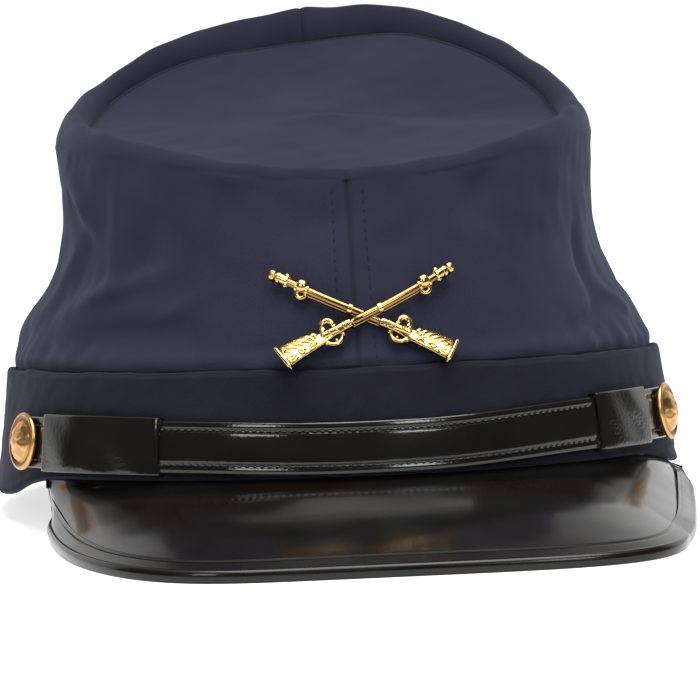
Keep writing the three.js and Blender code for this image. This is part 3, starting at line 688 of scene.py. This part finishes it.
# %% Strips along the band
def strap_line(angle):
    """Height of the strap's middle: it sags at the front and climbs a little to the right."""
    return (STRAP["height"] - STRAP["sag"] * np.cos(np.radians(angle)) ** 6
            + STRAP["lift"] * ramp(angle, 10, STRAP["reach"] - 16))


def rounded_strip(width, low, high, radius, crown=0.0, steps=26, corner=7):
    """Section of a strip as (up, out) pairs: a flat back, rounded shoulders, a crowned face."""
    half = width / 2
    turn = np.radians(np.linspace(0, 90, corner))
    up_side = half - radius + radius * np.cos(turn)
    out_side = high - radius + radius * np.sin(turn)
    face = np.linspace(half - radius, -half + radius, steps)[1:-1]
    up = np.concatenate([[half], up_side, face, -up_side[::-1], [-half]])
    bow = crown * (1 - (face / half) ** 2)
    out = np.concatenate([[low], out_side, high + bow, out_side[::-1], [low]])
    return up, out


STITCH_IN = 2.3
strap_up, strap_out = rounded_strip(STRAP["width"], GAP, GAP + STRAP["thickness"] - 0.25, 0.7, 0.35, 40)
channel = np.exp(-(((np.abs(strap_up) - STRAP["width"] / 2 + STITCH_IN) / 0.55) ** 2))
strap_out = strap_out - 0.28 * channel * (strap_out > 1.2)
half_run = STRAP["reach"] + STRAP["end_angle"]
run = half_run * np.sin(np.linspace(-0.49, 0.49, 420) * np.pi)[:, None]
past = np.clip((np.abs(run) - STRAP["reach"]) / 5.3, 0, 1)
narrow = np.sqrt(np.clip(1 - past**2, 0.03, 1))
length = np.radians(run) * STRAP["radius"]
leather_wave = 0.07 * waves(length, strap_up[None, :], 26, 41) * (strap_out > 1.2)[None, :]
edge_wave = 0.10 * waves(length, 0 * length, 33, 42)
strap_points = band_face(run, strap_line(run) + strap_up[None, :] * narrow + edge_wave,
                         strap_out[None, :] + leather_wave)
strap = build("strap_leather", [dict(points=to_rest(strap_points), loop=True, capped=True,
                                     uv=arc_lengths(strap_points))])
dress(strap, black_patent)
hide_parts("chin_strap")


# %% Keepers
def keeper(name, node_name, span):
    """A sleeve round the strap: the strip's section, a little wider and further out."""
    lift = STRAP["thickness"] + 2 * GAP
    up, out = rounded_strip(KEEPER["width"] - 1.0, GAP, lift + KEEPER["thickness"] - 0.5, 0.6, 0.2, 26)
    s = np.linspace(-1, 1, 70)[:, None]
    at = (span[0] + span[1]) / 2 + s * (span[1] - span[0]) / 2
    end = np.sqrt(np.clip(1 - (np.clip(np.abs(s) - 0.965, 0, 1) / 0.036) ** 2, 0.05, 1))
    out_face = GAP + (out[None, :] - GAP) * (0.75 + 0.25 * end)
    swell = 0.10 * waves(np.radians(at) * STRAP["radius"], up[None, :], 14, 51) * (out > 2)[None, :]
    points = band_face(at, strap_line(at) + up[None, :] * (0.985 + 0.015 * end), out_face + swell)
    made = build(name, [dict(points=to_rest(points), loop=True, capped=True, uv=arc_lengths(points))])
    dress(made, black_patent)
    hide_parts(node_name)


keeper("keeper_sleeve_left", "keeper_left", KEEPER["left"])
keeper("keeper_sleeve_right", "keeper_right", KEEPER["right"])


# %% [markdown]
# A stitch is a tiny thread lying in its hole: a short tube, thinner at both ends, a few dozen faces
# each. One function lays them along any line of points, with the surface's normal beside it.


# %% Stitches
def thread_tubes(starts, ends, out, thick, bow, sides=6, rings=5):
    """Tubes from starts to ends, bowed out of the surface, as one grid per stitch."""
    s = np.linspace(0, 1, rings)
    grids = []
    turn = np.linspace(0, 2 * np.pi, sides, endpoint=False)
    for a, b, n in zip(starts, ends, out):
        along = (b - a) / np.linalg.norm(b - a)
        side = np.cross(along, n)
        spine = a + (b - a) * s[:, None] + n * (bow * np.sin(np.pi * s) - 0.05)[:, None]
        size = thick * np.sqrt(np.clip(1 - (2 * s - 1) ** 2, 0.08, 1))
        ring = np.cos(turn)[None, :, None] * side + np.sin(turn)[None, :, None] * n
        grids.append(spine[:, None, :] + size[:, None, None] * ring)
    return grids


def sew(name, starts, ends, normals, thick, bow, made):
    """All the stitches of one seam as one piece."""
    parts = [dict(points=to_rest(g), loop=True, capped=True)
             for g in thread_tubes(starts, ends, normals, thick, bow)]
    piece = build(name, parts)
    dress(piece, made)


def band_normals(angle):
    """Outward unit normals of the band at angles."""
    return band_face(angle, 10 + 0 * angle, 1.0) - band_face(angle, 10 + 0 * angle, 0.0)


STITCH_PITCH = 2.0
for label, sign in (("upper", 1), ("lower", -1)):
    pitch = math.degrees(STITCH_PITCH / STRAP["radius"])
    at = np.arange(-62.5, 62.5, pitch)
    hidden = ((at > KEEPER["left"][0] - 0.4) & (at < KEEPER["left"][1] + 0.2)) | (
        (at > KEEPER["right"][0] - 1) & (at < KEEPER["right"][1] + 0.4))
    at = at[~hidden]
    high = strap_line(at) + sign * (STRAP["width"] / 2 - STITCH_IN)
    high = high + 0.10 * waves(np.radians(at) * STRAP["radius"], 0 * at, 33, 42)
    face = GAP + STRAP["thickness"] - 0.05
    a = band_face(at - pitch * 0.3, high, face)
    b = band_face(at + pitch * 0.3, high, face)
    sew(f"strap_stitches_{label}", a, b, band_normals(at), 0.27, 0.16, thread_black)

# %% Front seam stitches
for label, sign in (("left", -1), ("right", 1)):
    up = np.arange(0.05, 0.955, 0.052)
    off = np.degrees(sign * STITCH_OFF / 82)
    angle = np.full_like(up, off)
    a = wall_face(angle, up - 0.016)
    b = wall_face(angle, up + 0.016)
    side = wall_face(angle + 0.6, up) - wall_face(angle - 0.6, up)
    normal = np.cross(side, b - a)
    normal /= np.linalg.norm(normal, axis=-1, keepdims=True)
    sew(f"front_seam_stitches_{label}", a, b, normal, 0.26, 0.1, thread_navy)

# %% [markdown]
# ## The peak
# One stiff lacquered crescent. Its root follows the band's oval and its edge a squarer curve that
# runs straight forward and down, so the face between them is a gently arched ruled surface.


# %% Peak surface
def peak_edge(u):
    """Edge of the peak: a superellipse in plan, each side with its own roundness, falling ahead."""
    a = u * np.pi / 2
    right = ramp(np.sin(a), -1, 1)
    left_corner, right_corner = PEAK["corner"]
    left_end, right_end = PEAK["side_end"]
    k = 2 / (left_corner + (right_corner - left_corner) * right)
    end = left_end + (right_end - left_end) * right
    y = -end - (PEAK["front"] - end) * np.abs(np.cos(a)) ** k
    flare = PEAK["flare"] * right * np.clip((y + 110) / 65, 0, 1)
    x = PEAK["half_width"] * np.sign(a) * np.abs(np.sin(a)) ** k + PEAK["shift"] + flare
    x = x + 3.0 * (x < 0) * ramp(y, -62, -36)
    slope = np.clip((-y - PEAK["fold_line"]) / (PEAK["front"] - PEAK["fold_line"]), 0, None)
    return stack(x, y, -GAP - (PEAK["drop"] - GAP) * slope ** PEAK["curl"])


def edge_stations(count):
    """Values of u that divide the edge into equal lengths."""
    u = np.linspace(-0.9999, 0.9999, 6001)
    length = np.linalg.norm(np.diff(peak_edge(u), axis=0, prepend=peak_edge(u[:1])), axis=-1).cumsum()
    return np.interp(np.linspace(0, length[-1], count), length, u)


def peak_face(u, v):
    """Ruled surface from the band's lower edge (v = 0) to the peak's edge (v = 1), arched up."""
    edge = peak_edge(u)
    angle = np.degrees(np.arctan2(edge[..., 0] / BAND["half_width"], -edge[..., 1] / BAND["half_length"]))
    root_angle = np.clip(angle * 1.04, *PEAK["root_angles"])
    root = band_face(root_angle, band_foot(root_angle) - GAP, -BAND["wall"] / 2)
    share = np.linalg.norm(edge - root, axis=-1) / (PEAK["front"] - BAND["half_length"])
    point = root + (edge - root) * v[..., None]
    point[..., 2] += PEAK["arch"] * share**2 * np.sin(np.pi * v)
    return point


STATIONS = 300
stations = edge_stations(STATIONS)
stations = stations[-peak_edge(stations)[:, 1] > PEAK["fold_line"] - 1]
u_col = stations[:, None]
v_row = np.linspace(0, 1, 60)[None, :]
u_grid, v_grid = np.broadcast_arrays(u_col, v_row)
face = peak_face(u_grid, v_grid)
mould = 0.12 * waves(face[..., 0], face[..., 1], 60, 61, 8) + 0.02 * waves(face[..., 0], face[..., 1], 18, 62)
face[..., 2] += mould * ramp(v_grid, 0.12, 0.35) * ramp(1 - v_grid, 0.02, 0.2)
face[..., 2] += (GAP - 0.04) * (1 - ramp(v_grid, 0.0, 0.1))
FLANGE = np.array([1.6, 1.6, 0.0])  # the root runs on this far under the band, level
inward = face[:, :1] - face[:, 1:2]
flange = face[:, :1] + inward * FLANGE / np.linalg.norm(inward, axis=-1, keepdims=True)
face = np.concatenate([flange, face], 1)
ahead = -peak_edge(u_grid[:, 0])[:, 1] - PEAK["fold_line"]
full = 0.08 + 0.92 * ramp(ahead, 0.5, 9.0)
bottom = face[:, ::-1] - stack(0, 0, PEAK["thickness"] * full)[:, None]
peak_loop = np.concatenate([face, bottom], 1)
peak = build("peak_leather", [dict(points=to_rest(peak_loop), loop=True, capped=True,
                                   uv=peak_loop[..., :2] * 0.001)])
dress(peak, peak_patent)
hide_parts("peak")

# %% [markdown]
# The binding is a strip folded over the peak's edge and sewn through. Its section is a hook: a flat
# leaf on top with a soft inner edge, a round fold, and a leaf below.

# %% Binding hook
u_b = edge_stations(STATIONS)
u_b = u_b[-peak_edge(u_b)[:, 1] > PEAK["fold_line"] + 1.2]
from_end = np.minimum(np.arange(len(u_b)), np.arange(len(u_b))[::-1])
edge_b = peak_face(u_b, np.ones_like(u_b))
root_b = peak_face(u_b, np.zeros_like(u_b))
reach_b = np.linalg.norm(edge_b - root_b, axis=-1)
leaf = np.minimum(BINDING["width"], reach_b * 0.55) * np.minimum(1, 0.3 + from_end / 6.03)
onward = peak_edge(np.minimum(u_b + 0.001, 1)) - peak_edge(np.maximum(u_b - 0.001, -1))
away = stack(onward[:, 1], -onward[:, 0], 0 * u_b)
away /= np.linalg.norm(away, axis=-1, keepdims=True)
t, b = BINDING["thickness"], PEAK["thickness"]
fold = np.radians(np.linspace(90, -90, 17))
fold_in = -np.cos(fold) * (GAP + t) * 0.95
fold_up = np.where(fold > 0, -b / 2 + np.sin(fold) * (b / 2 + 0.6),
                   -b / 2 + np.sin(fold) * (b / 2 + GAP + t * 0.92))
soft = np.radians(np.linspace(180, 90, 7))
leaf_share = np.concatenate([1 + 0.06 * np.cos(soft), np.linspace(0.97, 0.06, 14)])
leaf_up = np.concatenate([-0.15 + 0.75 * np.sin(np.pi - soft), np.full(14, 0.6)])
sew_dip = 0.22 * np.exp(-(((leaf_share - 0.80) / 0.05) ** 2))
leaf_up = leaf_up - sew_dip
under_share = np.linspace(0.06, 1.0, 8)
rows = []
for share, rise in zip(leaf_share, leaf_up):
    p = peak_face(u_b, 1 - share * leaf / reach_b)
    p[:, 2] += rise
    rows.append(p)
for inward, rise in zip(fold_in, fold_up):
    p = edge_b - away * inward * np.minimum(1, 0.2 + from_end / 5.025)[:, None]
    p[:, 2] += rise
    rows.append(p)
for share in under_share:
    p = peak_face(u_b, 1 - share * leaf / reach_b)
    p[:, 2] += -b - GAP - t * 0.92
    rows.append(p)
for share in under_share[::-1]:
    p = peak_face(u_b, 1 - share * leaf / reach_b)
    p[:, 2] += -b - 0.08
    rows.append(p)
for share in (0.0, 0.5, 0.9):
    p = peak_face(u_b, 1 - share * leaf / reach_b)
    p[:, 2] += 0.06 if share else -b / 2
    rows.append(p)
hook = np.stack(rows, 1)
hook_rest = to_rest(hook)
hook_rest[..., 2] = np.maximum(hook_rest[..., 2], 0.0)
binding = build("binding_leather", [dict(points=hook_rest, loop=True, capped=True,
                                         uv=arc_lengths(hook))])
dress(binding, edge_patent)
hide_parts("peak_binding")


# %% [markdown]
# ## Buttons
# A stamped brass button: a rolled rim, a fine groove and a low dome. Its profile is turned about an
# axis that stands out of the strap.


# %% Turned buttons
def turned(profile_r, profile_h, foot, axis, segments=72):
    """A profile of radii and heights turned about an axis that starts at foot."""
    axis = axis / np.linalg.norm(axis)
    side = np.cross(axis, [0, 0, 1.0])
    side /= np.linalg.norm(side)
    up = np.cross(side, axis)
    turn = np.linspace(0, 2 * np.pi, segments, endpoint=False)[:, None]
    r, hgt = profile_r[None, :], profile_h[None, :]
    return (foot + (r * np.cos(turn))[..., None] * side + (r * np.sin(turn))[..., None] * up
            + (hgt + 0 * turn)[..., None] * axis)


def button(name, node_name, angle):
    """Rim, groove and dome, with hollows marked for the brown of age."""
    radius, rim_high, dome = BUTTON["diameter"] / 2, BUTTON["rim"], BUTTON["dome"]
    roll = np.radians(np.linspace(-80, 150, 14))
    rim_r = radius - 0.75 + 0.75 * np.cos(roll)
    rim_h = rim_high * 0.55 + 0.72 * np.sin(roll)
    s = np.linspace(1, 0.02, 30)
    dome_r = (radius - 1.7) * s
    dome_h = rim_high * 0.7 + dome * 0.92 * (1 - s**2.2)
    r = np.concatenate([[0.1, radius - 0.8], rim_r, dome_r])
    hgt = np.concatenate([[0.0, 0.0], rim_h, dome_h])
    shade = np.concatenate([[1, 1], np.where(np.degrees(roll) > 110, 0.8, 0.0),
                            np.exp(-(((s - 1) / 0.07) ** 2))])
    out = STRAP["thickness"] + 2 * GAP
    here = np.array([angle])
    foot = band_face(here, strap_line(here), out)[0]
    axis = band_face(here, strap_line(here), out + 1)[0] - foot
    points = turned(r, hgt, foot, axis)
    stamped = ramp(waves(points[..., 1], points[..., 2], 2.6, 71), -0.3, 0.6) * (hgt > rim_high + 0.2)
    points = points + (0.16 * stamped)[..., None] * axis
    mask = np.clip(shade[None, :] + 0.28 * (1 - stamped) * (hgt > rim_high), 0, 1)
    made = build(name, [dict(points=to_rest(points), round=True, loop=True, mask=mask)])
    dress(made, button_brass)
    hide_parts(node_name)


button("button_stamped_left", "button_left", -BUTTON["angle"])
button("button_stamped_right", "button_right", BUTTON["angle"])

# %% [markdown]
# ## The badge
# Two crossed muskets cast in one piece. Each musket is drawn flat, x along its barrel, and its
# parts are turned or swept solids. The whole is then bent onto the front of the crown.


# %% Cast parts, drawn flat
def tube(path, radius, sides=12, flat=1.0):
    """A round or flattened bar along a path of points, with a radius for each point."""
    path = np.asarray(path, float)
    radius = np.broadcast_to(np.asarray(radius, float), len(path))
    along = np.gradient(path, axis=0)
    along /= np.linalg.norm(along, axis=-1, keepdims=True)
    up = np.array([0, 0, 1.0])
    side = np.cross(along, up)
    side /= np.linalg.norm(side, axis=-1, keepdims=True)
    lift = np.cross(side, along)
    turn = np.linspace(0, 2 * np.pi, sides, endpoint=False)
    ring = np.cos(turn)[None, :, None] * side[:, None] + flat * np.sin(turn)[None, :, None] * lift[:, None]
    return path[:, None, :] + radius[:, None, None] * ring


def ball(x, y, z, radius, sides=12):
    """A round bead as a tube that opens and closes."""
    t = np.linspace(0.06, np.pi - 0.06, 9)
    path = stack(x - radius * np.cos(t), y, z)
    return tube(path, radius * np.sin(t), sides)


def ring_bar(x, y, z, radius, wire, start=0.0, end=360.0, steps=26):
    """A bar bent to a circle or a part of one."""
    t = np.radians(np.linspace(start, end, steps))
    return tube(stack(x + radius * np.cos(t), y + radius * np.sin(t), z + 0 * t), wire, 8)


def spiral(x, y, z, radius, wire, turns, flip=1):
    """A cast scroll: a thin bar wound in toward its centre."""
    t = np.linspace(0, turns * 2 * np.pi, 34)
    r = radius * (1 - 0.8 * t / t[-1])
    path = stack(x + r * np.cos(t), y + flip * r * np.sin(t), z + 0 * t)
    return tube(path, wire * (1 - 0.3 * t / t[-1]), 7)


def slab(spine_x, upper, lower, thick, z=0.0):
    """A flattened body between an upper and a lower outline, round-edged across."""
    t = np.linspace(0, 2 * np.pi, 28, endpoint=False)
    middle, half = (upper + lower) / 2, (upper - lower) / 2
    c, s = np.cos(t), np.sin(t)
    cc, ss = np.sign(c) * np.abs(c) ** 0.75, np.sign(s) * np.abs(s) ** 0.6
    return stack(spine_x[:, None] + 0 * t[None, :], middle[:, None] + half[:, None] * cc,
                 z + thick[:, None] * ss)


L = BADGE["half_length"]


def rod(x0, x1, y, z, radius, sides=16, round_share=0.25):
    """A round bar along x whose ends are rounded off over a share of its length."""
    t = np.linspace(-1, 1, 15)
    past = np.clip((np.abs(t) - 1 + round_share) / round_share, 0, 1)
    path = stack((x0 + x1) / 2 + t * (x1 - x0) / 2, y, z)
    return tube(path, radius * np.sqrt(np.clip(1 - past**2, 0.03, 1)), sides)


STOCK_X = np.array([-4.5, -7.5, -10.3, -13.5, -15.0, -17.0, -19.8, -22.5, -24.3])
STOCK_TOP = np.array([1.1, 1.1, 1.1, 1.15, 1.35, 2.25, 2.45, 2.2, 2.0])
STOCK_LOW = np.array([-1.1, -1.15, -1.35, -2.1, -2.4, -2.85, -3.55, -4.3, -4.8])


def musket_grids():
    """The parts of one musket, lying flat with its muzzle at +x and its guard toward -y."""
    s = np.linspace(0, 1, 60)
    stock_x = -4.5 - (24.3 - 4.5) * s
    upper = curve(-STOCK_X, STOCK_TOP, -stock_x)
    lower = curve(-STOCK_X, STOCK_LOW, -stock_x)
    close = np.sqrt(np.clip(1 - np.clip((s - 0.96) / 0.04, 0, 1) ** 2, 0.02, 1))
    close = close * np.sqrt(np.clip(s / 0.03, 0.05, 1))
    middle = (upper + lower) / 2
    upper, lower = middle + (upper - middle) * close, middle + (lower - middle) * close
    grids = [
        rod(-6, L - 0.8, 0, 0.15, 1.08, round_share=0.02),
        tube(stack(np.linspace(-5, L - 8, 30), -0.75, -0.30), 0.72, 12),
        slab(stock_x, upper, lower, (0.95 + 0.25 * ramp(s, 0.4, 0.7)) * (0.3 + 0.7 * close)),
        rod(L - 1.3, L + 0.2, 0, 0.2, 1.5),
        rod(L - 5.4, L - 1.2, 0.1, 0.2, 1.34),
        rod(L - 2.9, L - 2.0, 0.0, 0.2, 1.6),
        ball(L - 4.4, 1.15, 0.35, 1.0),
        ball(L - 4.7, -1.05, 0.5, 0.75),
        ball(L - 0.6, 0.0, 0.9, 0.95),
        rod(L * 0.66 - 1.9, L * 0.66 + 1.7, 0.45, 0.35, 1.85, round_share=0.8),
        rod(L * 0.65 - 1.9, L * 0.65 - 1.1, 0.0, 0.25, 1.4),
        rod(L * 0.65 + 1.0, L * 0.65 + 1.8, -0.2, 0.25, 1.45),
        ring_bar(L * 0.64, -1.3, 0.3, 1.15, 0.62, 150, 390),
        rod(2.6, 4.1, 0, 0.2, 1.42),
        rod(-7.3, -6.7, 0, 0.2, 1.42),
        rod(-6.4, -5.9, 0, 0.2, 1.35),
        ring_bar(-10.8, 1.8, 0.35, 1.4, 0.8, -35, 215),
        ball(-9.2, 1.0, 0.5, 0.7),
        ball(-12.5, 1.0, 0.5, 0.7),
        ring_bar(-10.4, -0.9, 0.1, 2.3, 0.66, 192, 348),
        ball(-8.0, -1.7, 0.2, 0.6),
        ball(-10.2, -2.4, 0.35, 0.5),
        ball(-12.8, -2.2, 0.2, 0.6),
        rod(-13.6, -8.2, 0.0, 0.45, 1.0),
        ball(-11.0, 0.1, 1.25, 0.55),
    ]
    for x, y, size, flip in ((-22.2, -2.6, 1.25, -1), (-19.2, -1.9, 0.95, 1)):
        grids.append(spiral(x, y, 1.15, size, 0.42, 1.3, flip))
    leaves = ((-14.2, 0.2, -16.4, 0.9), (-15.2, -0.2, -18.2, 1.5), (-16.4, -0.5, -20.1, 1.6),
              (-17.8, -0.7, -21.9, 1.4), (-19.6, -0.8, -23.3, 0.9), (-14.6, -1.2, -17.4, -2.1),
              (-21.6, -1.0, -23.6, -0.9))
    for x0, y0, x1, y1 in leaves:
        s2 = np.linspace(0, 1, 11)
        bow = 0.55 * np.sin(np.pi * s2)
        grids.append(tube(stack(x0 + (x1 - x0) * s2, y0 + (y1 - y0) * s2 + bow, 1.05),
                          0.22 + 0.5 * np.sin(np.pi * s2**0.7), 9, 0.8))
    plate = np.linspace(0, 1, 24)
    ends = np.sqrt(np.clip(1 - (2 * plate - 1) ** 12, 0.08, 1))
    grids.append(tube(stack(-24.9 + 1.55 * plate, 2.4 - 7.6 * plate, 0.3), 0.72 * ends, 12, 1.9))
    return grids


def lay_on_crown(grid):
    """Bends a flat grid round the front of the crown: x goes round it, y straight up, z out."""
    probe = np.linspace(0, 1, 801)
    spine = wall_face(np.zeros_like(probe), probe, fine=False)
    up0 = np.interp(BADGE["height"], spine[:, 2], probe)
    radius = -np.interp(up0, probe, spine[:, 1])
    angle = BADGE["angle"] + np.degrees(grid[..., 0] / radius)
    at = wall_face(angle, up0, fine=False)
    round_way = wall_face(angle + 2, up0, fine=False) - wall_face(angle - 2, up0, fine=False)
    up_way = wall_face(angle, up0 + 0.05, fine=False) - wall_face(angle, up0 - 0.05, fine=False)
    up_way /= np.linalg.norm(up_way, axis=-1, keepdims=True)
    out = np.cross(round_way, up_way)
    out /= np.linalg.norm(out, axis=-1, keepdims=True)
    high = BADGE["height"] + grid[..., 1]
    clear = GAP + 0.4 + (BAND["wall"] + GAP) * (1 - ramp(high, BAND["height"] - 3, BAND["height"] + 7))
    return at + up_way * grid[..., 1:2] * 1.08 + out * (grid[..., 2] + BADGE["back"] + clear)[..., None]


def badge_parts():
    """Both muskets: the second is mirrored, and the first lies over it."""
    parts = []
    lean = math.radians(BADGE["lean"])
    for lift, flip, ahead in ((0.9, 1, 0.3), (0.0, -1, 1.2)):
        for number, grid in enumerate(musket_grids()):
            along = grid[..., 0] + ahead
            x = along * math.cos(lean) - grid[..., 1] * math.sin(lean)
            y = along * math.sin(lean) + grid[..., 1] * math.cos(lean)
            browned = 0.7 if number < 2 else 0.0
            low = np.clip(0.85 - grid[..., 2] * 0.8, browned, 1)
            flat = stack(flip * x, y, grid[..., 2] + lift)
            laid = lay_on_crown(flat)
            parts.append(dict(points=to_rest(laid if flip > 0 else laid[::-1]), loop=True, capped=True,
                              mask=low if flip > 0 else low[::-1]))
    return parts


badge = build("badge_muskets", badge_parts())
dress(badge, badge_gold)
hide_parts("badge")

# %% [markdown]
# ## Studio
# A pale floor, a large soft light above and two smaller ones in front. The dark middle of the peak
# is the crown mirrored in it, and its bright sides are the pale studio beyond.

# %% Floor
floor_mesh = bpy.data.meshes.new("floor")
floor_mesh.from_pydata([(-3, -3, 0), (3, -3, 0), (3, 1.2, 0), (-3, 1.2, 0)], [], [(0, 1, 2, 3)])
floor = bpy.data.objects.new("floor", floor_mesh)
bpy.context.scene.collection.objects.link(floor)
pale, _, pale_shader = material("pale_floor", 0.9)
pale_shader.inputs["Base Color"].default_value = (0.6, 0.6, 0.6, 1)
pale_shader.inputs["Emission Color"].default_value = (1, 1, 1, 1)
pale_shader.inputs["Emission Strength"].default_value = 0.7
dress(floor, pale)
print("floor", tuple(floor.dimensions))


# %% Lights
def area_light(name, place, aim, size, power):
    """A square soft light at a place, turned to face its aim."""
    data = bpy.data.lights.new(name, "AREA")
    data.size = size
    data.energy = power
    lamp = bpy.data.objects.new(name, data)
    lamp.location = place
    direction = np.array(aim) - np.array(place)
    lamp.rotation_euler = Vector(direction).to_track_quat("-Z", "Y").to_euler()
    bpy.context.scene.collection.objects.link(lamp)


area_light("overhead", (0.1, -0.25, 1.5), (0, 0, 0.05), 1.2, 26)
area_light("front_right", (1.0, -2.2, 1.5), (0, 0, 0.07), 0.7, 16)
area_light("front_left", (-1.3, -1.9, 1.3), (0, 0, 0.07), 0.7, 11)
print("lights:", ", ".join(lamp.name for lamp in bpy.data.lights))

# %% The studio's walls
# Bright behind the cap and low down, dark at the sides, pale again overhead.
world = bpy.data.worlds.new("studio")
world.use_nodes = True
sky = world.node_tree
where = node(sky, "ShaderNodeTexCoord")
split = node(sky, "ShaderNodeSeparateXYZ")
sky.links.new(where.outputs["Generated"], split.inputs[0])
behind = node(sky, "ShaderNodeMapRange",
              values={"From Min": 0.25, "From Max": 0.5, "To Min": 0.03, "To Max": 1.0})
behind.interpolation_type = "SMOOTHSTEP"
sky.links.new(split.outputs["Y"], behind.inputs["Value"])
high = node(sky, "ShaderNodeMapRange",
            values={"From Min": 0.6, "From Max": 0.98, "To Min": 0.0, "To Max": 0.8})
sky.links.new(split.outputs["Z"], high.inputs["Value"])
low = node(sky, "ShaderNodeMapRange",
           values={"From Min": 0.42, "From Max": 0.72, "To Min": 1.1, "To Max": 0.1})
sky.links.new(split.outputs["Z"], low.inputs["Value"])
light = maths(sky, "MAXIMUM", maths(sky, "MULTIPLY", behind.outputs[0], low.outputs[0]), high.outputs[0])
sky.nodes["Background"].inputs["Color"].default_value = (1, 1, 1, 1)
sky.links.new(light, sky.nodes["Background"].inputs["Strength"])
bpy.context.scene.world = world
bpy.context.scene.view_settings.view_transform = "Standard"
print("world", world.name)

# %% [markdown]
# ## Camera
# The photograph was taken with a long lens from about 1.2 m, a little to the cap's right and just
# above the band's plane, with the picture slightly rolled.

# %% Camera
VIEW = dict(distance=1200.0, yaw=4.3, rise=2.0, roll=2.2, right=4.7, up=33.0, scale=3.65)
FRAME_PIXELS = 700
SENSOR = 36.0
yaw, rise, roll = (math.radians(VIEW[k]) for k in ("yaw", "rise", "roll"))
forward = np.array([math.sin(yaw) * math.cos(rise), math.cos(yaw) * math.cos(rise), -math.sin(rise)])
right = np.array([math.cos(yaw), -math.sin(yaw), 0.0])
upward = np.cross(right, forward)
eye = right * VIEW["right"] + np.array([0, 0, VIEW["up"]]) - forward * VIEW["distance"]
right_rolled = math.cos(roll) * right - math.sin(roll) * upward
up_rolled = math.sin(roll) * right + math.cos(roll) * upward
lens = bpy.data.cameras.new("camera")
lens.sensor_width = SENSOR
lens.lens = VIEW["scale"] * VIEW["distance"] * SENSOR / FRAME_PIXELS
lens.clip_end = 50
camera = bpy.data.objects.new("camera", lens)
turned_axes = np.stack([LEAN @ right_rolled, LEAN @ up_rolled, -(LEAN @ forward)], 1)
matrix = np.eye(4)
matrix[:3, :3] = turned_axes
matrix[:3, 3] = to_rest(eye)
camera.matrix_world = Matrix(matrix.tolist())
bpy.context.scene.collection.objects.link(camera)
bpy.context.scene.camera = camera
print(f"lens {lens.lens:.1f} mm at {np.round(to_rest(eye), 3)}")
